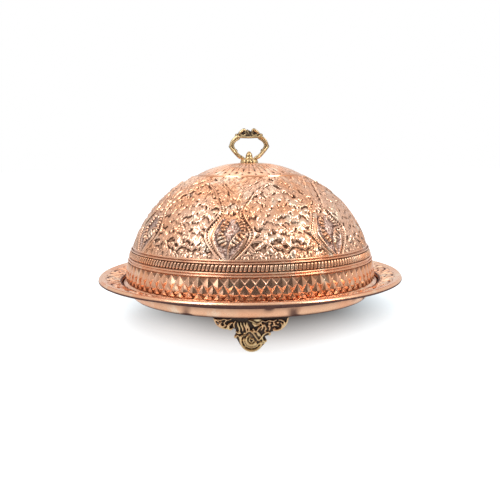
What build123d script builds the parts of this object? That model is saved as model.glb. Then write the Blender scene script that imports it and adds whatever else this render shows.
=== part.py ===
from build123d import *
from math import asin, atan2, cos, degrees, hypot, pi, radians, sin
import os

# Domed copper platter: a footed serving dish and the domed lid that lifts off it.
# Sizes are in millimetres, +Z is up, and the origin is on the table under the
# middle of the dish. The front of the platter faces -Y.

# Fits
lid_play = 1.7            # gap round the lid's rolled edge, inside the dish's rim
seat_gap = 0.3            # gap under the lid's rolled edge
wire_fit = 0.2            # gap between a rolled edge and its wire
shank_fit = 0.05          # gap round a rivet or screw in its hole

# Dish, pressed from sheet and rolled over a wire at its edge
dish_sheet = 0.8
dish_wire_radius = 0.65
dish_rim_width = 22.3     # from the step to the outside of the rolled edge
dish_rim_fall = 2.8       # from the middle of the rolled edge to the top of the step
ledge_depth = 7.8         # from the middle of the rolled edge to the ledge
ledge_width = 10.1
well_depth = 10.9         # from the ledge to the floor
well_draft = 1.0          # how much narrower the floor is than the mouth
well_corner = 2.2
ledge_corner = 1.2
step_corner = 0.6
rim_corner = 1.6

# Lid, raised from sheet and rolled over a wire at its edge
lid_radius = 126.0        # to the outside of the rolled edge
lid_height = 117.5        # from the bottom of the rolled edge to the flat top
lid_sheet = 0.8
lid_wire_radius = 0.5
flange_width = 3.5        # from the diamond band to the outside of the rolled edge
flange_height = 4.6
diamond_band_height = 18.9
diamond_band_taper = 1.7
cordon_height = 4.7       # the two beads between the diamonds and the flutes
cordon_step = 1.5
flute_band_height = 6.4
flute_band_taper = 1.8
shoulder_height = 2.7
shoulder_step = 2.8
dome_bulge = 9.1          # rise of the dome's arc above its chord
ring_groove_radius = 52.6
ring_groove_outer_depth = 1.0   # on the dome's side
ring_groove_inner_depth = 2.0   # on the cap's side
ring_groove_half_width = 1.3
cap_rise = 13.2           # from the bottom of the ring groove to the flat top
cap_bulge = 1.85
cap_flat_radius = 9.5
bead_radius = 0.7         # the beads stand half out of the sheet
bead_inset = 0.4          # of the bead above the diamonds, from the band's edge
bead_rise = 1.2           # of the same bead, above the band's edge

# Relief of the lid: the main forms of its medallions, drops and diamonds
medallion_count = 7
medallion_turn = 16.2     # degrees from the front to the middle of the first medallion
line_radius = 0.85        # of a raised line's round section
line_lift = 0.1           # of the middle of a raised line above the sheet
leaf_rows = (1, 2, 3, 2, 3)   # leaves of a medallion, from its tip down
leaf_top = 68.0           # of the first leaf, up the sheet from the dome's foot
leaf_rise = 13.0
leaf_spacing = 18.0
leaf_radius = 4.2
leaf_height = 0.95
leaf_root = 0.45          # how deep a leaf's base lies in the sheet
flower_up = 26.0          # of the middle of a drop's flower, up the sheet
flower_radius = 4.4
flower_height = 1.3
diamond_count = 85
diamond_rise = 5.6        # from a diamond's widest place to its shorter point
diamond_gap = 0.7
diamond_height = 1.0
diamond_top_share = 0.12
diamond_root = 0.3        # how deep a diamond's base lies in the sheet

# Curl of both rolled edges
curl_sweep = 260.0        # degrees of the wire that the sheet goes round

# Feet, three like castings
foot_count = 3
foot_height = 31.5
foot_width = 64.0
foot_inset = 8.6          # from the edge of the dish's floor to the front of a foot
foot_plate = 5.5
scroll_depth = 9.0        # front to back of the scroll that touches the table
scroll_step = 1.5         # how far the scroll stands in front of the plate
foot_tab_width = 36.0
foot_tab_depth = 14.0
foot_tab = 3.0

# Rivets that hold the feet, flush with the dish's floor
rivet_radius = 2.0
rivet_head_radius = 3.4
rivet_head_height = 1.5
rivet_spacing = 22.0
rivet_inset = 5.0         # from the back of the foot's plate to the rivets

# Handle
handle_width = 39.0
handle_height = 31.0      # from the rosette to the top of the scrolls
handle_arm_radius = 1.85
handle_bar_radius = 1.5
handle_boss_radius = 5.8
handle_boss = 1.9
handle_scroll_radius = 4.1
handle_scroll_bore = 1.6
handle_scroll = 4.0
handle_knob_radius = 2.0
handle_spur = 2.1

# Rosette under the handle
rosette_radius = 8.8
rosette_petals = 8
rosette_petal_radius = 2.1
rosette_petal_height = 1.3
rosette_height = 2.6
rosette_collar_radius = 6.6
rosette_collar_taper = 12.0   # degrees

# Screw, washer and nut that hold the handle
screw_radius = 2.0
screw_end = 1.6           # thread that shows past the nut
acorn_height = 6.7
acorn_radius = 3.45
acorn_collar = 1.2
acorn_collar_radius = 3.9
acorn_belly = (0.76, 0.62)   # where the acorn is roundest, in shares of its radius and height
washer_radius = 6.0
washer = 1.0
nut_across_flats = 7.0
nut_height = 3.2

# Radii worked out from the sizes above
dish_curl_radius = dish_wire_radius + wire_fit + dish_sheet
lid_curl_radius = lid_wire_radius + wire_fit + lid_sheet
step_radius = lid_radius + lid_play
rim_radius = step_radius + dish_rim_width
well_radius = step_radius - ledge_width
foot_face_radius = well_radius - well_draft - foot_inset
rivet_circle = foot_face_radius - foot_plate - rivet_inset

# Heights worked out from the sizes above
floor_level = foot_height + dish_sheet
ledge_level = floor_level + well_depth
rim_level = ledge_level + ledge_depth
lid_level = ledge_level + seat_gap
top_level = lid_level + lid_height
handle_level = top_level + rosette_height
acorn_level = handle_level + handle_boss
washer_level = top_level - lid_sheet - washer
nut_level = washer_level - nut_height


os.makedirs("parts", exist_ok=True)


def save(piece, name):
    """Name a finished piece and write its file."""
    piece.part.label = name
    export_step(piece.part, f"parts/{name}.step")


def curl_start(end, centre, radius):
    """Where a straight flange that starts at end runs tangent onto its curl.

    Gives the point and its direction from the curl's centre, in degrees."""
    across = centre[0] - end[0]
    up = centre[1] - end[1]
    slope = atan2(up, across) + asin(radius / hypot(across, up))
    direction = 90 + degrees(slope)
    x = centre[0] + radius * cos(radians(direction))
    z = centre[1] + radius * sin(radians(direction))
    return (x, z), direction


def curl_section(centre, outer, sheet, start):
    """Section of the sheet that goes round the wire of an edge."""
    with BuildSketch() as section:
        with BuildLine():
            outside = CenterArc(centre, outer, start, -curl_sweep)
            inside = CenterArc(centre, outer - sheet, start, -curl_sweep)
            Line(outside @ 0, inside @ 0)
            Line(outside @ 1, inside @ 1)
        make_face()
    return section.sketch


# Each foot's level frame: X along the foot, Y inwards, Z up
foot_frames = [Plane.XY.rotated((0, 0, number * 360 / foot_count)) for number in range(foot_count)]


def rivet_spots(frame, level):
    """Where both rivets of a foot stand, left then right, at a height."""
    return [frame.from_local_coords((side * rivet_spacing / 2, -rivet_circle, level)) for side in (-1, 1)]


# Dish: floor, wall, ledge for the lid, step, sloping rim and rolled edge
dish_curl_centre = (rim_radius - dish_curl_radius, rim_level)
rim_inner_edge = (step_radius, rim_level - dish_rim_fall)
dish_curl_top, dish_curl_angle = curl_start(rim_inner_edge, dish_curl_centre, dish_curl_radius)

with BuildPart() as dish:
    with BuildSketch(Plane.XZ):
        with BuildLine():
            FilletPolyline(
                (0, floor_level),
                (well_radius - well_draft, floor_level),
                (well_radius, ledge_level),
                (step_radius, ledge_level),
                rim_inner_edge,
                dish_curl_top,
                radius=(well_corner, ledge_corner, step_corner, rim_corner),
            )
            offset(amount=dish_sheet, side=Side.RIGHT)
        make_face()
        add(curl_section(dish_curl_centre, dish_curl_radius, dish_sheet, dish_curl_angle))
    revolve(axis=Axis.Z)
    for frame in foot_frames:
        with Locations(*rivet_spots(frame, floor_level)):
            Hole(rivet_radius + shank_fit, depth=dish_sheet)
save(dish, "dish")

with BuildPart() as rim_wire:
    with BuildSketch(Plane.XZ):
        with Locations(dish_curl_centre):
            Circle(dish_wire_radius)
    revolve(axis=Axis.Z)
save(rim_wire, "rim_wire")


# Lid: flat top, cap, ring groove, dome, shoulder, bands, flange and rolled edge
ring_level = top_level - cap_rise
band_foot = (lid_radius - flange_width, lid_level + flange_height)
band_top = (band_foot[0] - diamond_band_taper, band_foot[1] + diamond_band_height)
flute_foot = (band_top[0] - cordon_step, band_top[1] + cordon_height)
flute_top = (flute_foot[0] - flute_band_taper, flute_foot[1] + flute_band_height)
dome_foot = (flute_top[0] - shoulder_step, flute_top[1] + shoulder_height)
dome_top = (ring_groove_radius + ring_groove_half_width, ring_level + ring_groove_outer_depth)
cap_foot = (ring_groove_radius - ring_groove_half_width, ring_level + ring_groove_inner_depth)
lid_curl_centre = (lid_radius - lid_curl_radius, lid_level + lid_curl_radius)
lid_curl_top, lid_curl_angle = curl_start(band_foot, lid_curl_centre, lid_curl_radius)
bead_places = (
    (band_top[0] - bead_inset, band_top[1] + bead_rise),
    (flute_foot[0], flute_foot[1] - bead_radius),
    dome_foot,
)

dome_chord = hypot(dome_foot[0] - dome_top[0], dome_top[1] - dome_foot[1])
dome_arc_radius = (dome_chord ** 2 / 4 + dome_bulge ** 2) / (2 * dome_bulge)
dome_lean = atan2(dome_foot[0] - dome_top[0], dome_top[1] - dome_foot[1])
dome_half_turn = asin(dome_chord / 2 / dome_arc_radius)
dome_length = 2 * dome_half_turn * dome_arc_radius
dome_arc_centre = (
    (dome_foot[0] + dome_top[0]) / 2 - (dome_arc_radius - dome_bulge) * cos(dome_lean),
    (dome_foot[1] + dome_top[1]) / 2 - (dome_arc_radius - dome_bulge) * sin(dome_lean),
)


def dome_girth(up):
    """Radius of the dome's outside, so far up the sheet from its foot."""
    lean = dome_lean - dome_half_turn + up / dome_arc_radius
    return dome_arc_centre[0] + dome_arc_radius * cos(lean)


def on_dome(across, up, lift=0.0):
    """Plane on the dome, lift above its sheet; across and up run along the sheet from the front."""
    lean = dome_lean - dome_half_turn + up / dome_arc_radius
    turn = across / dome_girth(up)
    out = (cos(lean) * sin(turn), -cos(lean) * cos(turn), sin(lean))
    reach = dome_arc_centre[0] + (dome_arc_radius + lift) * cos(lean)
    height = dome_arc_centre[1] + (dome_arc_radius + lift) * sin(lean)
    return Plane(origin=(reach * sin(turn), -reach * cos(turn), height), x_dir=(cos(turn), sin(turn), 0), z_dir=out)


def raised_line(*shares):
    """Round line bent along the dome through three places, in shares of half a medallion and of the dome."""
    places = []
    for share, rise in shares:
        up = rise * dome_length
        places.append(on_dome(share * radians(180 / medallion_count) * dome_girth(up), up, line_lift).origin)
    with BuildLine() as path:
        ThreePointArc(*places)
    arc = path.edges()[0]
    with BuildSketch(Plane(origin=arc @ 0, z_dir=arc % 0)) as section:
        Circle(line_radius)
    revolve(section.sketch, axis=Axis(arc.arc_center, arc.normal()), revolution_arc=degrees(arc.length / arc.radius))


def raised_boss(place, radius, height):
    """Round boss that stands on a plane of the dome."""
    with BuildSketch(Plane(origin=place.origin, x_dir=place.x_dir, z_dir=-place.y_dir)) as section:
        with BuildLine():
            crown = (0, height)
            rim = (radius, -leaf_root)
            TangentArc(crown, rim, tangent=(1, 0))
            Polyline(rim, (0, -leaf_root), crown)
        make_face()
    revolve(section.sketch, axis=Axis(place.origin, place.z_dir))


# Lines round a medallion with its middle at the front: shoulders that cross at its tip, and flared skirts
medallion_lines = []
for side in (-1, 1):
    with BuildPart() as shoulder:
        raised_line((-0.04 * side, 0.86), (0.56 * side, 0.70), (0.72 * side, 0.42))
    with BuildPart() as skirt:
        raised_line((0.73 * side, 0.45), (0.58 * side, 0.22), (0.90 * side, 0.03))
    medallion_lines += [shoulder.part, skirt.part]

# Leaves of a medallion, in rows
with BuildPart() as leaves:
    for row, count in enumerate(leaf_rows):
        for number in range(count):
            across = (number - (count - 1) / 2) * leaf_spacing
            raised_boss(on_dome(across, leaf_top - row * leaf_rise), leaf_radius, leaf_height)

# One drop, with its middle at the front: a boss between a curled petal and a long leaf
with BuildPart() as drop:
    raised_boss(on_dome(0, flower_up), flower_radius, flower_height)
    raised_line((-0.10, 0.38), (-0.20, 0.26), (-0.09, 0.13))
    raised_line((0.01, 0.02), (0.06, 0.16), (0.34, 0.26))


def diamond(middle, above, below):
    """Four-sided stud at the front of the diamond band, with its widest place at a height."""
    share = (middle - band_foot[1]) / diamond_band_height
    radius = band_foot[0] - share * diamond_band_taper
    lean = atan2(diamond_band_taper, diamond_band_height)
    out = (0, -cos(lean), sin(lean))
    face = Plane(origin=(0, -radius, middle), x_dir=(1, 0, 0), z_dir=out)
    half = pi * radius / diamond_count - diamond_gap / 2
    corners = ((0, above - diamond_gap), (-half, 0), (0, diamond_gap - below), (half, 0))
    sections = []
    for size, lift in ((1, -diamond_root), (diamond_top_share, diamond_height)):
        with BuildSketch(face.offset(lift)) as section:
            Polygon(*[(size * x, size * z) for x, z in corners], align=None)
        sections.append(section.sketch.face())
    loft(sections, ruled=True)


diamond_fall = diamond_band_height - 2 * diamond_rise
with BuildPart() as high_diamond:
    diamond(band_top[1] - diamond_rise, diamond_rise, diamond_fall)
with BuildPart() as low_diamond:
    diamond(band_foot[1] + diamond_rise, diamond_fall, diamond_rise)

with BuildPart() as lid_dome:
    with BuildSketch(Plane.XZ):
        with BuildLine():
            Line((0, top_level), (cap_flat_radius, top_level))
            SagittaArc((cap_flat_radius, top_level), cap_foot, cap_bulge)
            Polyline(cap_foot, (ring_groove_radius, ring_level), dome_top)
            SagittaArc(dome_top, dome_foot, dome_bulge)
            Polyline(dome_foot, flute_top, flute_foot, band_top, band_foot, lid_curl_top)
            offset(amount=lid_sheet, side=Side.RIGHT)
        make_face()
        add(curl_section(lid_curl_centre, lid_curl_radius, lid_sheet, lid_curl_angle))
        with Locations(*bead_places):
            Circle(bead_radius)
    revolve(axis=Axis.Z)
    with Locations((0, 0, top_level)):
        Hole(screw_radius + shank_fit, depth=lid_sheet)
    for line in medallion_lines:
        with PolarLocations(0, medallion_count, start_angle=medallion_turn):
            add(line)
    with PolarLocations(0, medallion_count, start_angle=medallion_turn + 180 / medallion_count):
        add(drop.part)
    with PolarLocations(0, diamond_count):
        add(high_diamond.part)
    with PolarLocations(0, diamond_count, start_angle=180 / diamond_count):
        add(low_diamond.part)
    with PolarLocations(0, medallion_count, start_angle=medallion_turn):
        add(leaves.part)
save(lid_dome, "lid_dome")

with BuildPart() as lid_wire:
    with BuildSketch(Plane.XZ):
        with Locations(lid_curl_centre):
            Circle(lid_wire_radius)
    revolve(axis=Axis.Z)
save(lid_wire, "lid_wire")


# Feet: an asymmetric scrolled plate, the scroll it stands on and a riveting tab
def on_foot(across, up):
    """Point of a foot's outline, in shares of its width and height."""
    return (across * foot_width, up * foot_height)


def foot_outline():
    """Outline of a foot's plate, seen from the front."""
    corners = [
        on_foot(-0.525, 1.00),
        on_foot(-0.42, 0.735),
        on_foot(-0.265, 0.65),
        on_foot(-0.195, 0.65),
        on_foot(-0.19, 0.54),
        on_foot(-0.18, 0.33),
        on_foot(-0.10, 0.20),
        on_foot(0.16, 0.16),
        on_foot(0.19, 0.41),
        on_foot(0.255, 0.44),
        on_foot(0.305, 0.565),
        on_foot(0.41, 0.59),
        on_foot(0.525, 1.00),
    ]
    bulges = [
        on_foot(-0.49, 0.85),
        on_foot(-0.34, 0.63),
        on_foot(-0.23, 0.70),
        on_foot(-0.178, 0.60),
        on_foot(-0.23, 0.43),
        on_foot(-0.14, 0.27),
        on_foot(0.03, 0.08),
        on_foot(0.23, 0.31),
        on_foot(0.22, 0.40),
        on_foot(0.30, 0.49),
        on_foot(0.355, 0.54),
        on_foot(0.49, 0.72),
    ]
    with BuildSketch() as outline:
        with BuildLine():
            for start, bulge, end in zip(corners, bulges, corners[1:]):
                ThreePointArc(start, bulge, end)
            Line(corners[-1], corners[0])
        make_face()
    return outline.sketch


def scroll_outline():
    """Round scroll that a foot stands on, cut flat where it meets the table."""
    with BuildSketch() as outline:
        with BuildLine():
            ThreePointArc(on_foot(0, 0), on_foot(0.031, 0.69), on_foot(0.062, 0))
            Line(on_foot(0.062, 0), on_foot(0, 0))
        make_face()
    return outline.sketch


def foot_face(frame, reach):
    """Upright plane of one foot, facing outwards, reach away from the middle."""
    place = frame.from_local_coords((0, -reach, 0))
    return Plane(origin=place, x_dir=frame.x_dir, z_dir=-frame.y_dir)


def rivet_section():
    """Half section of a rivet, from its flush end down to the domed head under the foot's tab."""
    head_level = foot_height - foot_tab
    top = (0, floor_level)
    bottom = (0, head_level - rivet_head_height)
    with BuildSketch() as section:
        with BuildLine():
            Polyline(
                top,
                (rivet_radius, floor_level),
                (rivet_radius, head_level),
                (rivet_head_radius, head_level),
            )
            TangentArc(bottom, (rivet_head_radius, head_level), tangent=(1, 0))
            Line(bottom, top)
        make_face()
    return section.sketch


foot_names = ("front_foot", "rear_right_foot", "rear_left_foot")

for name, frame in zip(foot_names, foot_frames):
    with BuildPart() as foot:
        with BuildSketch(foot_face(frame, foot_face_radius)):
            add(foot_outline())
        extrude(amount=-foot_plate)
        with BuildSketch(foot_face(frame, foot_face_radius + scroll_step)):
            add(scroll_outline())
        extrude(amount=-scroll_depth)
        with BuildSketch(frame.offset(foot_height)):
            with Locations((0, foot_plate / 2 - foot_face_radius)):
                Rectangle(foot_tab_width, foot_plate / 2 + foot_tab_depth, align=(Align.CENTER, Align.MIN))
        extrude(amount=-foot_tab)
        with Locations(*rivet_spots(frame, foot_height)):
            Hole(rivet_radius + shank_fit, depth=foot_tab)
    save(foot, name)

    for side, spot in zip(("left", "right"), rivet_spots(frame, 0)):
        with BuildPart() as rivet:
            with BuildSketch(Plane(origin=spot, x_dir=frame.x_dir, z_dir=-frame.y_dir)):
                add(rivet_section())
            revolve(axis=Axis(spot, (0, 0, 1)))
        save(rivet, f"{name}_{side}_rivet")


# Handle: a cast ring with a flat boss, two scrolls on top and knobs at its joints
def on_handle(across, up):
    """Point of the handle in its own upright plane, in shares of its size."""
    return (across * handle_width / 2, handle_level + up * handle_height)


arm_foot = on_handle(0.28, 0.068)
arm_middle = on_handle(0.625, 0.20)
shoulder = on_handle(0.87, 0.42)
upper_middle = on_handle(0.81, 0.56)
arm_top = on_handle(0.58, 0.73)
bar_middle = on_handle(0, 0.735)
side_knob = on_handle(0.615, 0.80)
scroll_place = (0.235, 0.868)


def across(point, side):
    """Point on the left or right half of the handle."""
    return (side * point[0], point[1])


def rod(start, middle, end, radius):
    """Round rod along an arc in the handle's plane, added to the open part."""
    with BuildLine(Plane.XZ) as path:
        ThreePointArc(start, middle, end)
    with BuildSketch(Plane(origin=path.line @ 0, z_dir=path.line % 0)) as section:
        Circle(radius)
    sweep(sections=section.sketch, path=path.line)


with BuildPart() as handle_ring:
    with BuildSketch(Plane.XY.offset(handle_level)):
        Circle(handle_boss_radius)
    extrude(amount=handle_boss)
    for side in (-1, 1):
        rod(across(arm_foot, side), across(arm_middle, side), across(shoulder, side), handle_arm_radius)
        rod(across(shoulder, side), across(upper_middle, side), across(arm_top, side), handle_arm_radius)
        with BuildSketch(Plane.XZ.offset(-handle_scroll / 2)):
            with Locations(on_handle(side * scroll_place[0], scroll_place[1])):
                Circle(handle_scroll_radius)
                Circle(handle_scroll_bore, mode=Mode.SUBTRACT)
        extrude(amount=handle_scroll)
        with Locations((side * side_knob[0], 0, side_knob[1])):
            Sphere(handle_knob_radius)
        with Locations((side * shoulder[0], 0, shoulder[1])):
            Sphere(handle_spur)
    rod(across(arm_top, -1), bar_middle, arm_top, handle_bar_radius)
    with Locations((0, 0, handle_level + handle_boss)):
        Hole(screw_radius + shank_fit, depth=handle_boss)
save(handle_ring, "handle_ring")

with BuildPart() as handle_rosette:
    with BuildSketch(Plane.XY.offset(top_level)):
        Circle(rosette_radius - rosette_petal_radius)
        with PolarLocations(rosette_radius - rosette_petal_radius, rosette_petals):
            Circle(rosette_petal_radius)
    extrude(amount=rosette_petal_height)
    with BuildSketch(Plane.XY.offset(top_level)):
        Circle(rosette_collar_radius)
    extrude(amount=rosette_height, taper=rosette_collar_taper)
    with Locations((0, 0, handle_level)):
        Hole(screw_radius + shank_fit, depth=rosette_height)
save(handle_rosette, "handle_rosette")


# Screw with an acorn head, and the washer and nut under the lid's top
with BuildPart() as acorn_screw:
    with BuildSketch(Plane.XZ):
        with BuildLine():
            tip = (0, acorn_level + acorn_height)
            waist = (acorn_radius, acorn_level + acorn_collar)
            belly = (acorn_belly[0] * acorn_radius, acorn_level + acorn_belly[1] * acorn_height)
            ThreePointArc(tip, belly, waist)
            Polyline(
                waist,
                (acorn_collar_radius, acorn_level + acorn_collar / 2),
                (acorn_collar_radius, acorn_level),
                (screw_radius, acorn_level),
                (screw_radius, nut_level - screw_end),
                (0, nut_level - screw_end),
                tip,
            )
        make_face()
    revolve(axis=Axis.Z)
save(acorn_screw, "acorn_screw")

with BuildPart() as inner_washer:
    with BuildSketch(Plane.XY.offset(washer_level)):
        Circle(washer_radius)
        Circle(screw_radius + shank_fit, mode=Mode.SUBTRACT)
    extrude(amount=washer)
save(inner_washer, "inner_washer")

with BuildPart() as inner_nut:
    with BuildSketch(Plane.XY.offset(nut_level)):
        RegularPolygon(nut_across_flats / 2, 6, major_radius=False)
        Circle(screw_radius + shank_fit, mode=Mode.SUBTRACT)
    extrude(amount=nut_height)
save(inner_nut, "inner_nut")
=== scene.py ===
# %% [markdown]
# # A domed copper platter
#
# A round serving dish of raised copper stands on three cast brass feet. A tall lid, worked from
# behind in high relief, lifts off it by a cast ring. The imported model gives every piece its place,
# and this lesson dresses it: relief as real geometry, then metal that darkens in its hollows.

from math import atan2, ceil, cos, hypot, pi, radians, sin

import bpy
import numpy as np
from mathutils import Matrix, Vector


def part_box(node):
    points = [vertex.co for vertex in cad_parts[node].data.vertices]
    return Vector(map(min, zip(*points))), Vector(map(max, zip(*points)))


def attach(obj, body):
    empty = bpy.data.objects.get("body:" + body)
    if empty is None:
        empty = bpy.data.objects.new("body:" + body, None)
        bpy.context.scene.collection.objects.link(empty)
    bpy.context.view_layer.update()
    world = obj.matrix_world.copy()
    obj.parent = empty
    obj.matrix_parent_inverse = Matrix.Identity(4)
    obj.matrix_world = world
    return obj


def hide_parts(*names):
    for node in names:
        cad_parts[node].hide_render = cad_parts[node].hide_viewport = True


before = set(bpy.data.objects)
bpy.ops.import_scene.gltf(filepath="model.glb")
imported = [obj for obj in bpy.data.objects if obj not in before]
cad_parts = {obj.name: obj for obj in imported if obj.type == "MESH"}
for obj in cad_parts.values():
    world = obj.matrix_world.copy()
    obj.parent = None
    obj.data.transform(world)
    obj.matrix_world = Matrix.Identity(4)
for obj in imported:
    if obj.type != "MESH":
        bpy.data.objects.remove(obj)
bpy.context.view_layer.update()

# %% [markdown]
# ## Sizes
#
# Lengths are written in millimetres and become metres when a mesh is made, because a smith thinks in
# millimetres and Blender in metres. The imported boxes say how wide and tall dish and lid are, so the
# dressing follows them. Both are turned about one upright axis, and every section below is a run of
# (radius, height) points.

# %% Sizes shared by several pieces
MM = 0.001
dish_low, dish_high = (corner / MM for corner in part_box("dish"))
lid_low, lid_high = (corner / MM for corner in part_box("lid_dome"))
sheet, well_depth, rim_lift = 0.8, 10.9, 7.8
floor_level = dish_low.z + sheet
ledge_level = floor_level + well_depth
rim_level = ledge_level + rim_lift
rim_radius = dish_high.x
lid_foot, lid_top = lid_low.z, lid_high.z
print("rim", round(rim_radius, 1), "floor", round(floor_level, 1), "lid", round(lid_foot, 1),
      round(lid_top, 1))

# %% [markdown]
# ## Camera
#
# The platter is seen from a little above its rim, from about two of its own widths away. A lens of
# 49 mm keeps the near and far edge of the rim in a natural proportion, and the Standard view shows
# each colour about as it is written.

# %% Camera
eye = bpy.data.cameras.new("eye")
eye.sensor_fit, eye.sensor_width, eye.lens = "HORIZONTAL", 36, 49.45
camera = bpy.data.objects.new("camera", eye)
camera.location = (0.0009, -0.6836, 0.1702)
camera.rotation_euler = (radians(90 - 8.14), radians(0.5), 0)
bpy.context.collection.objects.link(camera)
bpy.context.scene.camera = camera
bpy.context.scene.view_settings.view_transform = "Standard"
print("camera at", tuple(camera.location))


# %% [markdown]
# ## Sums over nodes
#
# Materials and the world are sums over nodes. They could be wired one link at a time, but then the
# sum is hard to read. This class holds one output of a node and adds the next node when it stands in
# a Python sum, so that a mask is written as 1 - grime, and one method makes every other kind of node.

# %% Shader sums
class Signal:
    """One output of a shader node, which can stand in a Python sum."""

    def __init__(self, tree, socket=None):
        self.tree, self.socket = tree, socket

    def node(self, kind, sockets=None, output=0, **settings):
        """Add a node: its settings first, then values or Signals for its inputs."""
        made = self.tree.nodes.new(kind)
        for name, value in settings.items():
            setattr(made, name, value)
        for name, value in (sockets or {}).items():
            if isinstance(value, Signal):
                self.tree.links.new(value.socket, made.inputs[name])
            else:
                made.inputs[name].default_value = value
        return Signal(self.tree, made.outputs[output] if made.outputs else None)

    def sum(self, operation, one, other):
        """Math node on two numbers or Signals."""
        return self.node("ShaderNodeMath", {0: one, 1: other}, operation=operation)

    def __add__(self, other): return self.sum("ADD", self, other)
    def __radd__(self, other): return self.sum("ADD", other, self)
    def __sub__(self, other): return self.sum("SUBTRACT", self, other)
    def __rsub__(self, other): return self.sum("SUBTRACT", other, self)
    def __mul__(self, other): return self.sum("MULTIPLY", self, other)
    def __rmul__(self, other): return self.sum("MULTIPLY", other, self)

    def within(self, low, high):
        """0 below low, 1 above high and a soft step between."""
        return self.node("ShaderNodeMapRange", {"Value": self, "From Min": low, "From Max": high},
                         interpolation_type="SMOOTHSTEP")

    def blend(self, one, other):
        """Colour one where this is 0, the other where it is 1."""
        picks = {0: self}
        for number, colour in ((6, one), (7, other)):
            picks[number] = colour if isinstance(colour, Signal) else (*colour, 1)
        return self.node("ShaderNodeMix", picks, output=2, data_type="RGBA")


def shader(owner):
    """Empty node tree of a material or world, as a Signal that adds nodes."""
    owner.use_nodes = True
    owner.node_tree.nodes.clear()
    return Signal(owner.node_tree)


# %% [markdown]
# ## World
#
# Polished copper shows the room more than itself. A photographer's white tent is bright above and
# behind, with a dark gap where the camera stands, and that gap gives the metal its deep tones. The
# world does the same: a level grey that sinks low down on the camera's side. Only the camera's own
# rays see it as plain white.

# %% World
world = bpy.data.worlds.new("studio")
bpy.context.scene.world = world
w = shader(world)
direction = w.node("ShaderNodeTexCoord", output="Generated")
depth, rise = (w.node("ShaderNodeSeparateXYZ", {0: direction}, output=axis) for axis in "YZ")
towards_camera = (0 - depth).within(0.0, 0.9)
low_down = 1 - rise.within(0.25, 0.92)
tent = 0.86 - towards_camera * low_down * 0.78
seen = w.node("ShaderNodeLightPath", output="Is Camera Ray")
level = seen + (1 - seen) * tent
grey = w.node("ShaderNodeCombineColor", {"Red": level, "Green": level, "Blue": level})
w.node("ShaderNodeOutputWorld", {"Surface": w.node("ShaderNodeBackground", {"Color": grey, "Strength": 1.0})})
print("world nodes:", len(world.node_tree.nodes))


# %% [markdown]
# ## Floor
#
# The white ground could be a bright floor under strong lamps, but those would burn the copper out.
# Instead the floor glows by itself for the camera and for reflections, and stays dull for the
# lamps, so that it keeps the soft shadow. On top of that a painted shadow lies under the dish: the
# glow fades there, a second, weaker fade lies in front beside the foot, and the floor's own colour
# turns darker and bluer in both places.

# %% Floor
def add_mesh(name, points, faces, finish=None, smooth=True):
    """Object at the origin from points in millimetres."""
    mesh = bpy.data.meshes.new(name)
    mesh.from_pydata((np.asarray(points, dtype=float) * MM).tolist(), [], [list(f) for f in faces])
    mesh.update()
    if smooth:
        mesh.shade_smooth()
    piece = bpy.data.objects.new(name, mesh)
    bpy.context.collection.objects.link(piece)
    if finish:
        mesh.materials.append(finish)
    return piece


def distance_from(tree, place):
    """Metres between a place and the point that is shaded."""
    here = tree.node("ShaderNodeTexCoord", output="Object")
    gap = tree.node("ShaderNodeVectorMath", {0: here, 1: place}, operation="SUBTRACT")
    return tree.node("ShaderNodeVectorMath", {0: gap}, output="Value", operation="LENGTH")


floor_finish = bpy.data.materials.new("pale_floor")
f = shader(floor_finish)
to_eye, to_metal, to_glass = (f.node("ShaderNodeLightPath", output=name)
                              for name in ("Is Camera Ray", "Is Glossy Ray", "Is Transmission Ray"))
# Painted shadow: under the dish and beside the foot, these fades lower the glow seen by the camera and in
# reflections, and they make the floor's colour darker and bluer.
under_dish = distance_from(f, (0.012, 0.10, 0)).within(0.055, 0.20)
beside_foot = distance_from(f, (0.006, -0.03, 0)).within(0.0, 0.09)
clear_of_painted_shadow = under_dish * (0.66 + 0.34 * beside_foot)
glow = (to_eye + to_glass) * (0.01 + clear_of_painted_shadow * 0.85) + to_metal * (0.34 + clear_of_painted_shadow * 0.14)
matt = f.node("ShaderNodeBsdfDiffuse", {"Color": clear_of_painted_shadow.blend((0.172, 0.222, 0.256), (0.40, 0.45, 0.48))})
light = f.node("ShaderNodeEmission", {"Color": (1, 1, 1, 1), "Strength": glow})
f.node("ShaderNodeOutputMaterial", {"Surface": f.node("ShaderNodeAddShader", {0: matt, 1: light})})
reach = 6000
floor = add_mesh("floor", [(-reach, -reach, 0), (reach, -reach, 0), (reach, reach, 0), (-reach, reach, 0)],
                 [(0, 1, 2, 3)], floor_finish, smooth=False)
print("floor:", 2 * reach * MM, "m across")


# %% [markdown]
# ## Lamps
#
# Two soft boxes stand left and right in front, where their reflections fall on the bosses of the
# dome. A wide one behind lifts the cap, and a weak one low at the left reaches the dish's wall. They
# are small and mild: the tent gives most of the light, the lamps give the sparkle.

# %% Lamps
def softbox(name, place, width, power):
    """Square area lamp that faces the lid's middle, placed in metres."""
    lamp = bpy.data.lights.new(name, "AREA")
    lamp.shape, lamp.size, lamp.energy = "SQUARE", width, power
    holder = bpy.data.objects.new(name, lamp)
    holder.location = place
    holder.rotation_euler = (Vector((0, 0, 0.09)) - holder.location).to_track_quat("-Z", "Y").to_euler()
    bpy.context.collection.objects.link(holder)
    print("lamp", name, power, "W")


softbox("key", (-0.60, -0.55, 1.00), 0.50, 4.9)
softbox("fill", (0.80, -0.45, 0.85), 0.36, 5.0)
softbox("top", (-0.15, 0.75, 1.25), 0.9, 2.2)
softbox("low", (-0.85, -0.80, 0.30), 0.30, 0.7)
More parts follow.
